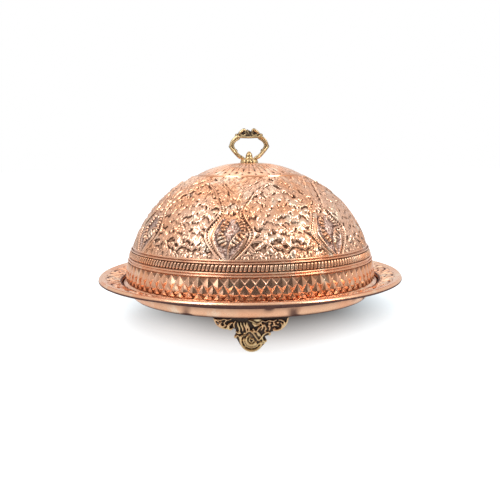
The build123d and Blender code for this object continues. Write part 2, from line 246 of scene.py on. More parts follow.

# %% [markdown]
# ## Copper
#
# Copper is clean where hands and polish reach it and brown where they don't. The same brown also
# paints shade: under the lips of leaves, in gaps and grooves between bands, along the dish's ledge
# and wall and on the side of its rolled edge. A painted texture could hold that, but it would have
# to match each leaf of the relief. So each relief mesh carries two numbers per point: "hollow" says
# how dark it is painted, from how deep it lies among its neighbours and from the painted shade, and
# "stipple" marks the ground that was punched over with a fine point. The finish reads them, and
# clouds of noise vary the metal's tone. Deep dirt and painted shade are partly a dull layer, because
# a brown metal still shines at a glance.


# %% Copper finish
def noise(tree, size, detail=3.0, rough=0.55, seed=0.0):
    """Cloudy pattern whose spots are about size millimetres across."""
    place = tree.node("ShaderNodeTexCoord", output="Object")
    return tree.node("ShaderNodeTexNoise", {"Vector": place, "W": seed, "Scale": 0.5 / (size * MM),
                                            "Detail": detail, "Roughness": rough},
                     noise_dimensions="4D")


def carried(tree, name):
    """Number that a mesh carries on its points."""
    return tree.node("ShaderNodeAttribute", output="Fac", attribute_name=name)


def copper(name, clean, warm, pale, brown=(0.085, 0.036, 0.020), rough=0.27, hammer=0.18, dark=1.0):
    """Hand-worked copper: three clean tones, brown hollows that also carry painted shade, punched ground and
    hammer marks.
    """
    made = bpy.data.materials.new(name)
    t = shader(made)
    hollow = carried(t, "hollow")
    stipple = carried(t, "stipple")
    clouds = noise(t, 26, seed=1).within(0.40, 0.62)
    spots = noise(t, 7, seed=2).within(0.52, 0.70)
    tone = spots.blend(clouds.blend(clean, warm), pale)
    # The hollow number darkens the colour here: brown patina in deep places, and painted shade where the
    # meshes mark it.
    grime_and_shade = (hollow * dark * (0.72 + 0.5 * noise(t, 3, seed=3))).within(0.10, 0.95)
    dots = noise(t, 0.8, detail=1.0, seed=7).within(0.42, 0.58)
    punched = dots.blend((0.20, 0.11, 0.09), (0.66, 0.49, 0.42))
    stained_and_shaded = (stipple * 0.85).blend(grime_and_shade.blend(tone, brown), punched)
    fine = noise(t, 0.9, detail=2.0, seed=4)
    beaten = noise(t, 5.5, detail=1.0, seed=5)
    height = beaten * hammer + fine * 0.025 + stipple * noise(t, 0.7, detail=0.0, seed=6) * 0.6
    bump = t.node("ShaderNodeBump", {"Height": height, "Strength": 1.0, "Distance": 0.6 * MM})
    metal = t.node("ShaderNodeBsdfPrincipled", {
        "Base Color": stained_and_shaded,
        "Metallic": 1 - grime_and_shade * 0.08,
        "Roughness": rough + grime_and_shade * 0.30 + stipple * 0.15 + (fine - 0.5) * 0.06,
        "Normal": bump,
    })
    dirt_and_shade = t.node("ShaderNodeBsdfPrincipled", {"Base Color": (*brown, 1), "Roughness": 0.85,
                                               "Specular IOR Level": 0.1})
    dulled = t.node("ShaderNodeMixShader", {0: grime_and_shade.within(0.45, 1.0) * 0.5, 1: metal, 2: dirt_and_shade})
    t.node("ShaderNodeOutputMaterial", {"Surface": dulled})
    return made


lid_copper = copper("lid_copper", (0.86, 0.52, 0.36), (0.84, 0.41, 0.23), (0.92, 0.69, 0.52), dark=0.86)
band_copper = copper("band_copper", (0.82, 0.46, 0.30), (0.83, 0.37, 0.19), (0.90, 0.61, 0.42), rough=0.22)
dish_copper = copper("dish_copper", (0.89, 0.51, 0.32), (0.87, 0.41, 0.23), (0.93, 0.68, 0.49),
                     (0.13, 0.06, 0.052))
print("finishes:", lid_copper.name, band_copper.name, dish_copper.name)


# %% [markdown]
# ## Tin, steel and brass
#
# Tin covers the inside of dish and lid, laid on hot and wiped round with a cloth. The wires in the
# rolled edges are steel. Feet and handle are cast brass, nearly black in their hollows and where
# they lie far behind their face. One function serves them all, since they differ only in colour,
# grain and how dark their hollows are.

# %% Tin, steel and brass finishes
def plain_metal(name, colour, shade, rough, grain=3.0, bite=0.1, dark=0.0, deep=(0.03, 0.02, 0.012)):
    """Metal with a cloudy surface; dark says how strongly its hollows blacken."""
    made = bpy.data.materials.new(name)
    t = shader(made)
    clouds = noise(t, grain * 4, seed=1).within(0.38, 0.64)
    fine = noise(t, grain * 0.3, detail=2.0, seed=2)
    # The carried hollow number darkens the metal in deep places and on parts that lie behind the face.
    grime_and_shade = (carried(t, "hollow") * dark * (0.7 + 0.6 * noise(t, grain, seed=3))).within(0.08, 0.9)
    height = noise(t, grain, detail=1.0, seed=4) * bite + fine * 0.06
    t.node("ShaderNodeOutputMaterial", {"Surface": t.node("ShaderNodeBsdfPrincipled", {
        "Base Color": grime_and_shade.blend(clouds.blend(colour, shade), deep),
        "Metallic": 1 - grime_and_shade * 0.4,
        "Roughness": rough + (fine - 0.5) * 0.12 + grime_and_shade * 0.3,
        "Normal": t.node("ShaderNodeBump", {"Height": height, "Strength": 1.0, "Distance": 0.4 * MM}),
    })})
    return made


tin = plain_metal("wiped_tin", (0.72, 0.70, 0.67), (0.60, 0.58, 0.55), 0.36, grain=5.0, bite=0.3)
steel = plain_metal("wire_steel", (0.45, 0.44, 0.42), (0.32, 0.31, 0.30), 0.4)
foot_brass = plain_metal("antique_brass", (0.90, 0.67, 0.36), (0.84, 0.50, 0.28), 0.34,
                         bite=0.05, dark=1.0, deep=(0.10, 0.068, 0.055))
ring_brass = plain_metal("handled_brass", (0.74, 0.54, 0.29), (0.62, 0.41, 0.20), 0.30,
                         bite=0.03, dark=1.0, deep=(0.06, 0.035, 0.022))
plain_brass = plain_metal("plain_brass", (0.75, 0.58, 0.28), (0.66, 0.48, 0.22), 0.3)
rivet_copper = plain_metal("rivet_copper", (0.72, 0.38, 0.26), (0.60, 0.30, 0.20), 0.34, bite=0.5)
print("materials:", len(bpy.data.materials))

# %% [markdown]
# ## One tree that repeats round the axis
#
# Sectors of relief, flutes, diamonds, petals and feet all stand in rings. A Python loop could copy
# them, but one Geometry Nodes tree does it for all: it sets a piece down so many times round the
# axis, welds the seams and adds the small unevenness of work done by hand. The result is kept as a
# plain mesh, and the modifier goes.


# %% The ring tree
def ring_tree():
    """Geometry Nodes tree: a piece repeated round Z, welded and slightly dented."""
    tree = bpy.data.node_groups.new("round_the_axis", "GeometryNodeTree")
    for name, kind, start in (("Piece", "NodeSocketObject", None), ("Count", "NodeSocketInt", 7),
                              ("Start", "NodeSocketFloat", 0.0), ("Weld", "NodeSocketFloat", 0.00002),
                              ("Dent", "NodeSocketFloat", 0.0), ("Dent Size", "NodeSocketFloat", 0.03),
                              ("Finish", "NodeSocketMaterial", None)):
        socket = tree.interface.new_socket(name, in_out="INPUT", socket_type=kind)
        if start is not None:
            socket.default_value = start
    tree.interface.new_socket("Geometry", in_out="OUTPUT", socket_type="NodeSocketGeometry")

    def node(kind, sockets=None, **settings):
        """Add a node with its settings and inputs, and give its outputs."""
        made = tree.nodes.new(kind)
        for key, value in settings.items():
            setattr(made, key, value)
        for key, value in (sockets or {}).items():
            if isinstance(value, bpy.types.NodeSocket):
                tree.links.new(value, made.inputs[key])
            else:
                made.inputs[key].default_value = value
        return made.outputs

    given = node("NodeGroupInput")
    step = node("ShaderNodeMath", {0: 2 * pi, 1: given["Count"]}, operation="DIVIDE")[0]
    turn = node("ShaderNodeMath", {0: node("GeometryNodeInputIndex")[0], 1: step, 2: given["Start"]},
                operation="MULTIPLY_ADD")[0]
    turned = node("FunctionNodeEulerToRotation", {0: node("ShaderNodeCombineXYZ", {"Z": turn})[0]})[0]
    points = node("GeometryNodePoints", {"Count": given["Count"]})[0]
    piece = node("GeometryNodeObjectInfo", {"Object": given["Piece"]})["Geometry"]
    placed = node("GeometryNodeInstanceOnPoints", {"Points": points, "Instance": piece,
                                                   "Rotation": turned})[0]
    solid = node("GeometryNodeRealizeInstances", {"Geometry": placed})[0]
    welded = node("GeometryNodeMergeByDistance", {"Geometry": solid, "Distance": given["Weld"]})[0]
    scale = node("ShaderNodeMath", {0: 1.0, 1: given["Dent Size"]}, operation="DIVIDE")[0]
    clouds = node("ShaderNodeTexNoise", {"Vector": node("GeometryNodeInputPosition")[0], "W": 3.0,
                                         "Scale": scale, "Detail": 1.0}, noise_dimensions="4D")[0]
    push = node("ShaderNodeMath", {0: node("ShaderNodeMath", {0: clouds, 1: 0.5}, operation="SUBTRACT")[0],
                                   1: given["Dent"]}, operation="MULTIPLY")[0]
    shift = node("ShaderNodeVectorMath", {0: node("GeometryNodeInputNormal")[0], "Scale": push},
                 operation="SCALE")[0]
    dented = node("GeometryNodeSetPosition", {"Geometry": welded, "Offset": shift})[0]
    finished = node("GeometryNodeSetMaterial", {"Geometry": dented, "Material": given["Finish"]})[0]
    node("NodeGroupOutput", {"Geometry": finished})
    return tree


round_the_axis = ring_tree()
print("ring tree:", len(round_the_axis.nodes), "nodes")


def ring_of(name, piece, count, finish, start=0.0, dent=0.0, dent_size=30):
    """Plain mesh of a piece repeated round the axis; the single piece is used up."""
    ring = bpy.data.objects.new(name, bpy.data.meshes.new(name))
    bpy.context.collection.objects.link(ring)
    modifier = ring.modifiers.new("ring", "NODES")
    modifier.node_group = round_the_axis
    keys = {item.name: item.identifier for item in round_the_axis.interface.items_tree
            if item.in_out == "INPUT"}
    for key, value in (("Piece", piece), ("Count", count), ("Start", start), ("Dent", dent * MM),
                       ("Dent Size", dent_size * MM), ("Finish", finish)):
        modifier[keys[key]] = value
    depsgraph = bpy.context.evaluated_depsgraph_get()
    mesh = bpy.data.meshes.new_from_object(ring.evaluated_get(depsgraph))
    ring.modifiers.clear()
    ring.data = mesh
    bpy.data.objects.remove(piece)
    print(f"{name}: {len(mesh.polygons)} faces")
    return ring


# %% [markdown]
# ## The lid's relief
#
# The smith draws the pattern on the raised dome, bosses it out from inside and chases the lines
# from outside. A bump map could fake that, but its outline stays smooth and its shadows are wrong.
# Here the pattern is a real height above the sheet, worked out on a fine grid over one seventh of
# the dome: a pointed medallion in the middle and half a hanging drop at each side.

# %% Where the dome's surface lies
dome_foot, dome_crown, dome_bulge = (114.7, lid_foot + 37.3), (53.9, lid_top - 12.2), 9.1
chord = hypot(dome_foot[0] - dome_crown[0], dome_crown[1] - dome_foot[1])
dome_radius = (chord ** 2 / 4 + dome_bulge ** 2) / (2 * dome_bulge)
slope = ((dome_crown[1] - dome_foot[1]) / chord, (dome_foot[0] - dome_crown[0]) / chord)
dome_centre = [(dome_foot[i] + dome_crown[i]) / 2 - (dome_radius - dome_bulge) * slope[i] for i in (0, 1)]
foot_angle = atan2(dome_foot[1] - dome_centre[1], dome_foot[0] - dome_centre[0])
crown_angle = atan2(dome_crown[1] - dome_centre[1], dome_crown[0] - dome_centre[0])
dome_length = (crown_angle - foot_angle) * dome_radius
print("dome: radius", round(dome_radius, 1), "length up the sheet", round(dome_length, 1))


def girth(up):
    """Radius of the dome, up so many millimetres from its foot."""
    return dome_centre[0] + dome_radius * np.cos(foot_angle + up / dome_radius)


# %% [markdown]
# A field is a patch of sheet laid flat: every motif asks it how far each of its points lies from a
# spot or a line, and raises or cuts it there. Its sides meet, so that the ring has no seam.

# %% A field to raise the relief on
class Field:
    """Heights over a patch: along runs round the lid as an angle, up runs up the sheet."""

    def __init__(self, angles, ups, radius_at):
        self.angle, self.up = np.meshgrid(angles, ups)
        self.radius = radius_at(self.up)
        self.radius_at = radius_at
        self.span = angles[-1] - angles[0]
        self.step = ups[1] - ups[0]
        self.height = np.zeros_like(self.up)
        self.sway = (0.0, 0.0)

    def wave(self, count, rate, phase):
        """Wave with a whole number of crests round the patch, leaning as it goes up."""
        return np.sin(2 * pi * count * self.angle / self.span + rate * self.up + phase)

    def local(self, along, up, lean=0.0):
        """Millimetres from a spot, turned by lean degrees; the patch closes on itself."""
        angle = along / self.radius_at(np.float64(up))
        gap = (self.angle - angle + self.span / 2) % self.span - self.span / 2
        x, y = gap * self.radius + self.sway[0], self.up - up + self.sway[1]
        c, s = cos(radians(lean)), sin(radians(lean))
        return c * x + s * y, c * y - s * x

    def raise_to(self, heights):
        """Keep the higher of what is there and what is laid on."""
        np.maximum(self.height, heights, out=self.height)

    def along_line(self, points):
        """Distance from a polyline of (along, up) points, and length run along it."""
        best, run, passed = np.full_like(self.up, 1e3), np.zeros_like(self.up), 0.0
        for one, two in zip(points, points[1:]):
            x, y = self.local(*one)
            dx, dy = two[0] - one[0], two[1] - one[1]
            length = hypot(dx, dy)
            share = np.clip((x * dx + y * dy) / length ** 2, 0, 1)
            far = np.hypot(x - share * dx, y - share * dy)
            nearer = far < best
            best[nearer] = far[nearer]
            run[nearer] = (passed + share * length)[nearer]
            passed += length
        return best, run

    def smoothed(self, size):
        """Heights blurred over size millimetres, round the closed direction too."""
        reach = max(1, int(ceil(2.5 * size / self.step)))
        weights = np.exp(-0.5 * (np.arange(-reach, reach + 1) * self.step / size) ** 2)
        weights /= weights.sum()
        rows = np.pad(self.height, ((reach, reach), (0, 0)), mode="edge")
        out = sum(w * rows[i:i + len(self.height)] for i, w in enumerate(weights))
        ring = out[:, :-1]
        ring = sum(w * np.roll(ring, i - reach, axis=1) for i, w in enumerate(weights))
        return np.hstack([ring, ring[:, :1]])


def flowing(points, steps=8):
    """Smooth run through (along, up) points."""
    p = np.array([points[0], *points, points[-1]], dtype=float)
    out = []
    for a, b, c, d in zip(p, p[1:], p[2:], p[3:]):
        for t in np.linspace(0, 1, steps, endpoint=False):
            out.append(0.5 * (2 * b + (c - a) * t + (2 * a - 5 * b + 4 * c - d) * t * t
                              + (3 * b - a - 3 * c + d) * t ** 3))
    return [tuple(q) for q in out] + [tuple(p[-1])]


# %% [markdown]
# The medallion is bounded by a line that rises from drop to drop to a point at the top. A thinner
# line runs round it, with a string of punched beads and a smooth band between the two.

# %% Lines of the pattern
sectors = 7
half_sector = pi / sectors
border = flowing([(0, 80.5), (4, 78.6), (9.5, 74), (15, 69), (18.6, 64.4), (23.5, 57), (28.6, 50.5),
                  (30.8, 44), (29.8, 37), (27.2, 31), (25.4, 25.5), (26.6, 19.5), (31, 13.5), (37.4, 7),
                  (44.6, 0.4)])
outer_line = flowing([(2, 91), (9, 87), (17.8, 79.5), (26, 72), (31.6, 64), (35.6, 56), (37.2, 48),
                      (36.6, 41.5), (34.8, 35), (33.8, 29), (33.2, 23), (35.6, 16.5), (40.5, 9.3),
                      (45.6, 4.2), (48.9, 0.4)])


def mirrored(points):
    """The same line on the medallion's other side."""
    return [(-x, y) for x, y in points]


def across_at(line, up):
    """How far a line stands from the medallion's axis at each height."""
    ordered = sorted(line, key=lambda p: p[1])
    return np.interp(up, [p[1] for p in ordered], [p[0] for p in ordered])


def spaced(line, pitch):
    """Places along a line, a pitch apart."""
    ends = [(two[0] - one[0], two[1] - one[1]) for one, two in zip(line, line[1:])]
    run = np.concatenate([[0], np.cumsum([hypot(*gap) for gap in ends])])
    places = np.arange(pitch / 2, run[-1], pitch)
    return list(zip(*(np.interp(places, run, [p[i] for p in line]) for i in (0, 1))))


print("border", len(border), "points, outer line", len(outer_line), "points")

# %% [markdown]
# ## Motifs
#
# A chaser owns a few punches and makes everything with them. So does this cell: a wavy leaf, a
# pointed blade, an arch, a boss, a ridge, a crescent petal and a short stroke. Each is a formula
# for a height around its own spot, and chance gives each print its own size and lean.

# %% Motifs
rng = np.random.default_rng(11)


def rounded(share):
    """Height of a half circle over a share of its half width."""
    return np.sqrt(np.clip(1 - share ** 2, 0, 1))


def leaf(field, along, up, width, length, lean, height, lobes=1.5):
    """Leaf like a roof tile: it swells down to a wavy lower edge, then drops steeply."""
    x, y = field.local(along, up, lean)
    u, v = x / width, y / length
    edge = -0.60 + 0.24 * np.cos(2 * pi * lobes * u) + 0.34 * u * u
    lip = np.clip((v - edge) / 0.15, 0, 1) ** 0.5
    fall = np.clip((1 - v) / 1.5, 0, 1) ** 0.9
    folds = 0.80 + 0.20 * np.cos(2 * pi * lobes * u)
    veins = 0.94 + 0.06 * np.cos(2 * pi * 2.6 * lobes * u * (1.3 - 0.3 * v))
    field.raise_to(height * lip * fall * folds * veins * rounded(np.clip(u, -1, 1)) ** 0.8)


def blade(field, along, up, width, length, lean, height, ribs=0, sunk=0.0):
    """Pointed leaf with a rim, a middle that may be sunk, and ribs across."""
    x, y = field.local(along, up, lean)
    v = np.clip(y / length, -1, 1)
    half = width * np.sqrt(1 - v * v) + 1e-6
    u = np.clip(x / half, -1, 1)
    body = rounded(u) ** 0.6 * (1 - sunk * np.exp(-(u / 0.5) ** 2))
    if ribs:
        body = body * (0.72 + 0.28 * np.cos(ribs * pi * v + 1.2 * u))
    field.raise_to(np.where(np.abs(y) < length, height * body, 0))


def arch(field, along, up, width, tall, lean, height):
    """Small arch: a raised outline round a swollen tongue."""
    x, y = field.local(along, up, lean)
    reach = np.hypot(x / width, np.clip(y, 0, None) / tall)
    outline = np.exp(-((reach - 0.84) / 0.15) ** 2)
    tongue = 0.75 * rounded(np.clip(reach / 0.58, 0, 1))
    inside = (y > -1.1 * tall) & (reach < 1.3)
    field.raise_to(np.where(inside, height * np.maximum(outline, tongue), 0))


def knoll(field, along, up, width, tall, height):
    """Oval boss."""
    x, y = field.local(along, up)
    field.raise_to(height * rounded(np.clip(np.hypot(x / width, y / tall), 0, 1)))


def ridge(field, line, half_width, height):
    """Round bead along a line."""
    far, _ = field.along_line(line)
    field.raise_to(height * rounded(np.clip(far / half_width, 0, 1)))


def crescent(field, points, width, height, ribs):
    """Curved petal along a line, full in the middle and ribbed across."""
    line = flowing(points)
    far, run = field.along_line(line)
    share = np.clip(run / run.max(), 0.03, 0.97)
    half = width * np.sqrt(np.sin(pi * share))
    body = rounded(np.clip(far / half, 0, 1)) ** 0.6 * (0.62 - 0.38 * np.cos(2 * pi * ribs * share))
    field.raise_to(height * body)


def stroke(field, along, up, length, lean, depth, width=0.5):
    """Short line chased into the sheet."""
    x, y = field.local(along, up, lean)
    field.height -= depth * np.exp(-(x / width) ** 2 - (y / length) ** 2)


# %% [markdown]
# ## One seventh of the dome
#
# Leaves fill the medallion in uneven rows, small arches stand along its foot, and the drop between
# two medallions holds one flower on punched ground. Rows placed by rule and then shaken by chance
# look worked by hand, where a plain grid looks stamped and pure chance leaves holes.

# %% One seventh of the dome
columns, dome_rows = 160, 146
cut_row = 78


def fill_medallion(field):
    """Leaves and arches inside the border."""
    field.sway = (0.9 * field.wave(5, 0.21, 1) + 0.5 * field.wave(11, -0.43, 2),
                  1.0 * field.wave(6, -0.17, 3) + 0.6 * field.wave(13, 0.35, 4))
    up, row = 76.5, 0
    while up > 15:
        reach = float(across_at(border, up)) - 2.2
        count = max(1, int(round(2 * reach / rng.uniform(6.8, 8.0)))) + row % 2
        for share in np.linspace(-1, 1, count) if count > 1 else [0.0]:
            along = share * reach
            spot = (along + rng.uniform(-1.4, 1.4), up + rng.uniform(-1.8, 1.8))
            lean = rng.uniform(-30, 30) - 0.45 * along
            if rng.random() < 0.18:
                blade(field, *spot, rng.uniform(1.8, 2.6), rng.uniform(3.8, 5.4), lean + 58,
                      rng.uniform(1.2, 1.9), ribs=2, sunk=0.3)
            else:
                leaf(field, *spot, rng.uniform(4.2, 6.2), rng.uniform(3.6, 5.0), lean, rng.uniform(1.3, 2.4),
                     rng.uniform(0.7, 1.9))
        up -= rng.uniform(4.8, 5.9)
        row += 1
    for row, count in enumerate((1, 2, 3, 2, 3)):
        for number in range(count):
            leaf(field, (number - (count - 1) / 2) * 18, 68 - 13 * row, 5.6, 4.8, rng.uniform(-24, 24), 2.2)
    for along in np.arange(-39.5, 40, 8.4):
        lean = rng.uniform(-16, 16) - 0.5 * along
        if rng.random() < 0.55:
            arch(field, along + rng.uniform(-1, 1), 10.4, 3.1, 4.6, lean, 1.6)
        else:
            blade(field, along, 11, 2.1, 5.2, lean + 70 * rng.choice([-1, 1]), 1.5, ribs=3)
    for along in np.arange(-40.6, 42, 5.8):
        arch(field, along + rng.uniform(-0.6, 0.6), 3.4, 2.5, 3.6, rng.uniform(-14, 14),
             rng.uniform(1.2, 1.6))
    field.sway = (0.0, 0.0)


def from_drop(across, up):
    """Spot given from the axis of the drop, which is the patch's edge."""
    return across + float(girth(up)) * half_sector, up


def fill_drop(field):
    """The flower between two medallions: four ribbed petals, a curled stem and a stalk."""
    petals = (([(-0.6, 37.4), (-3.6, 34.4), (-5.4, 30), (-5.6, 25.6)], 3.1, 2.3, 4),
              ([(-8.4, 25), (-7.2, 21), (-5.4, 16.5), (-2.8, 12.2)], 3.6, 2.3, 4),
              ([(4.2, 34.8), (7.6, 36.0), (10.4, 32.6), (11.2, 26.4)], 3.1, 2.3, 5),
              ([(2.6, 12), (5.4, 16.2), (9.4, 20.2), (16.6, 23.6)], 3.3, 2.1, 5))
    for line, width, height, ribs in petals:
        crescent(field, [from_drop(*spot) for spot in line], width, height, ribs)
    stem = [(1.2, 10.4), (2.2, 15.6), (5.4, 20.8), (8.4, 24.4), (16.2, 24.8)]
    stalk = [(0.2, 0.5), (0.4, 6), (0.9, 12)]
    for line, half_width, height in ((stem, 0.75, 2.4), (stalk, 0.8, 1.8)):
        ridge(field, flowing([from_drop(*spot) for spot in line]), half_width, height)


def lay_lines(field, side, inner):
    """The medallion's two lines, the track between them and the smooth band along the drop."""
    between = np.minimum(side - inner, inner + 4.0 - side)
    field.raise_to(np.where(field.up < 66, 0.55 * np.clip(between / 0.8, 0, 1), 0))
    for line in (border, mirrored(border)):
        ridge(field, line, 1.0, 1.75)
    for line in (outer_line, mirrored(outer_line)):
        ridge(field, line, 0.8, 0.95)
        ridge(field, [spot for spot in line if spot[1] < 23], 1.45, 1.05)


def punch_and_chase(field):
    """Beads punched into the track, and strokes chased over leaves and plain sheet."""
    for along, up in spaced([(x + 2.1, y) for x, y in border if y < 62], 2.5):
        for hand in (-1, 1):
            x, y = field.local(hand * along, up)
            field.height -= 0.95 * np.exp(-(x / 0.85) ** 2 - (y / 0.75) ** 2)
    for _ in range(760):
        up = rng.uniform(2, dome_length - 2)
        along = rng.uniform(-1, 1) * float(girth(up)) * half_sector
        if abs(along) < float(across_at(border, up)) - 1 and up < 80:
            stroke(field, along, up, rng.uniform(1.0, 2.6), rng.uniform(-50, 50), rng.uniform(0.1, 0.32),
                   0.45)
        elif up > 42:
            fan = 34 * np.sign(along) * (1 if rng.random() < 0.7 else -1)
            stroke(field, along, up, rng.uniform(1.6, 3.8), fan + rng.uniform(-24, 24),
                   rng.uniform(0.35, 0.85), 0.65)


def dome_relief():
    """Height, hollow and stipple over one seventh of the dome."""
    angles = np.linspace(-half_sector, half_sector, columns + 1)
    field = Field(angles, np.linspace(0, dome_length, dome_rows + 1), girth)
    side = np.abs(field.angle * field.radius)
    inner, outer = (across_at(line, field.up) for line in (border, outer_line))
    inside = (side < inner - 0.5) & (field.up < 80)
    drop = (side > outer + 0.5) & (field.up < 38)

    fill_medallion(field)
    field.height = np.where(inside, field.height, 0)
    flower = Field(angles, field.up[:, 0], girth)
    fill_drop(flower)
    stipple = np.where(drop & (flower.height < 0.3), 1.0, 0.0)
    knoll(flower, *from_drop(1.9, 27), 4.6, 5.4, 0.45)
    for lean, along in ((-34, -3.2), (34, 3.2), (0, 0)):
        blade(flower, from_drop(along, 50)[0], 48, 1.6, 6.0, lean, 1.1, sunk=0.3)
    field.height = np.where(side > outer - 2.5, np.maximum(field.height, flower.height), field.height)
    lay_lines(field, side, inner)
    punch_and_chase(field)

    field.height = np.maximum(field.smoothed(0.30), -0.7)
    hollow = np.clip((field.smoothed(1.9) - field.height) / 0.46, 0, 1)
    # Painted shadow: a point that lies well below the point two rows above it, under a leaf's lip, is painted
    # dark as shade.
    overhang = np.vstack([field.height[2:], field.height[-2:]]) - field.height
    hollow = np.maximum(hollow, np.clip((overhang - 0.30) / 0.5, 0, 1))
    ground = np.clip(1 - field.height / 0.35, 0, 1) * np.where(inside, 0.6, np.where(drop, 0.35, 0.0))
    return field, np.maximum(hollow, ground), stipple


relief, relief_hollow, relief_stipple = dome_relief()
print("relief from", round(relief.height.min(), 2), "to", round(relief.height.max(), 2), "mm")

# %% [markdown]
# The grid of heights becomes two sheets, a lower and an upper one, because one would have too many
# faces for a single piece. The rows where they meet overlap by one and are tucked in a little.

# %% Dome sheets
def sheet_faces(rows, across):
    """Quads of a grid, wound so that they face outwards."""
    start = (np.arange(rows)[:, None] * (across + 1) + np.arange(across)[None, :]).ravel()
    return np.stack([start, start + 1, start + across + 2, start + across + 1], axis=1)


def mark(piece, name, values):
    """Give each point of a mesh a number the material can read."""
    piece.data.attributes.new(name, "FLOAT", "POINT").data.foreach_set("value",
                                                                       np.ravel(values).astype(np.float32))


def about_axis(radius, angle, height):
    """Points from radii, angles off the front and heights."""
    return np.stack([radius * np.sin(angle), -radius * np.cos(angle), height], axis=-1).reshape(-1, 3)


def dome_sheet(name, low, high):
    """Rows low to high of the relief as a ring; a tucked row hides under its neighbour."""
    tuck = 0.03
    rows = slice(low, high + 1)
    out = dome_radius + relief.height[rows]
    lean = foot_angle + relief.up[rows] / dome_radius
    if high < dome_rows:
        out[-1] -= tuck
    if low > 0:
        out[0] -= tuck
    points = about_axis(dome_centre[0] + out * np.cos(lean), relief.angle[rows],
                        dome_centre[1] + out * np.sin(lean))
    piece = add_mesh(name + "_sector", points, sheet_faces(high - low, columns), lid_copper)
    mark(piece, "hollow", relief_hollow[rows])
    mark(piece, "stipple", relief_stipple[rows])
    return ring_of(name, piece, sectors, lid_copper, start=radians(16.2), dent=0.5, dent_size=38)


lower_dome = dome_sheet("lid_dome_lower", 0, cut_row + 1)
upper_dome = dome_sheet("lid_dome_upper", cut_row, dome_rows)
for piece in (lower_dome, upper_dome):
    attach(piece, "lid")
    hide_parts("lid_dome")

# %% [markdown]
# ## Turned parts of the lid
#
# Everything between the dome and the lid's foot is turned: the beads, the plain sheet behind the
# flutes and diamonds, and the edge rolled over its wire. A Screw modifier could turn a section, but
# here each point of it also carries how dark it is, and the dents and stains of handling go in at
# the same time.

# %% Turning a section
def round_section(centre, radius, count):
    """Circle as a closed section."""
    turns = np.linspace(0, 2 * pi, count, endpoint=False)
    return [(centre[0] + radius * cos(a), centre[1] + radius * sin(a)) for a in turns]


def turned(name, sections, finish, steps=480, dents=0.0, hollows=None, stains=0.0):
    """Closed sections turned about the axis, each with one hollow number or one per point."""
    angles = np.linspace(0, 2 * pi, steps, endpoint=False)
    points, faces, depths = [], [], []
    for section, depth in zip(sections, hollows or [0.0] * len(sections)):
        section = np.array(section, dtype=float)
        wide, tall = section[:, 0], section[:, 1]
        if np.sum(wide * np.roll(tall, -1) - np.roll(wide, -1) * tall) < 0:
            section = section[::-1]
            depth = depth if np.isscalar(depth) else depth[::-1]
        depth = np.array(depth, dtype=float)
        r, a = np.meshgrid(section[:, 0], angles)
        z = np.meshgrid(section[:, 1], angles)[0]
        wave = (np.sin(7 * a + 0.35 * z) + 0.7 * np.sin(16 * a - 0.5 * z + 1)
                + 0.5 * np.sin(31 * a + 0.8 * z + 2))
        r = r + dents * wave
        first = sum(len(p) for p in points)
        points.append(about_axis(r, a, z))
        n = len(section)
        depths.append((depth + stains * np.clip(wave - 1.1, 0, 1)).ravel())
        here = np.arange(steps)[:, None] * n + np.arange(n)[None, :]
        after = np.roll(here, -1, axis=0)
        quads = np.stack([here, after, np.roll(after, -1, axis=1), np.roll(here, -1, axis=1)], axis=-1)
        faces.append(quads.reshape(-1, 4) + first)
    piece = add_mesh(name, np.vstack(points), np.vstack(faces), finish)
    piece.data.set_sharp_from_angle(angle=radians(35))
    mark(piece, "hollow", np.concatenate(depths))
    return piece


def thickened(line, depth):
    """Closed section of a sheet: a line and its copy set back to the left of its run."""
    p = np.array(line, dtype=float)
    run = np.gradient(p, axis=0)
    run /= np.linalg.norm(run, axis=1)[:, None]
    back = p + depth * np.stack([-run[:, 1], run[:, 0]], axis=1)
    return [tuple(q) for q in p] + [tuple(q) for q in back[::-1]]


def joined(name, *pieces):
    """One object from several."""
    for piece in pieces:
        piece.select_set(True)
    bpy.context.view_layer.objects.active = pieces[0]
    with bpy.context.temp_override(selected_editable_objects=list(pieces), active_object=pieces[0]):
        bpy.ops.object.join()
    pieces[0].name = pieces[0].data.name = name
    return pieces[0]


def settled(piece, kind, **settings):
    """Add a modifier and keep its result as a plain mesh."""
    modifier = piece.modifiers.new(kind.lower(), kind)
    for key, value in settings.items():
        setattr(modifier, key, value)
    mesh = bpy.data.meshes.new_from_object(piece.evaluated_get(bpy.context.evaluated_depsgraph_get()))
    piece.modifiers.clear()
    piece.data = mesh
    return piece


# %% Heights and radii of the bands
roll_centre, roll_radius = (124.5, lid_foot + 1.5), 1.5
diamond_low, diamond_high = (122.5, lid_foot + 4.6), (120.8, lid_foot + 23.5)
flute_low, flute_high = (119.3, lid_foot + 28.4), (117.7, lid_foot + 34.4)
print("diamond band", round(diamond_high[1] - diamond_low[1], 1), "mm tall")

# %% [markdown]
# Round beads part the bands from each other. Behind the flutes and diamonds lies a plain backing,
# given painted shade where they will stand, so that the gaps between them look deep, and the groove
# under the cap gets a lighter painted shade. The edge at the foot is rolled round a wire, which
# shows as one plain bright bead.

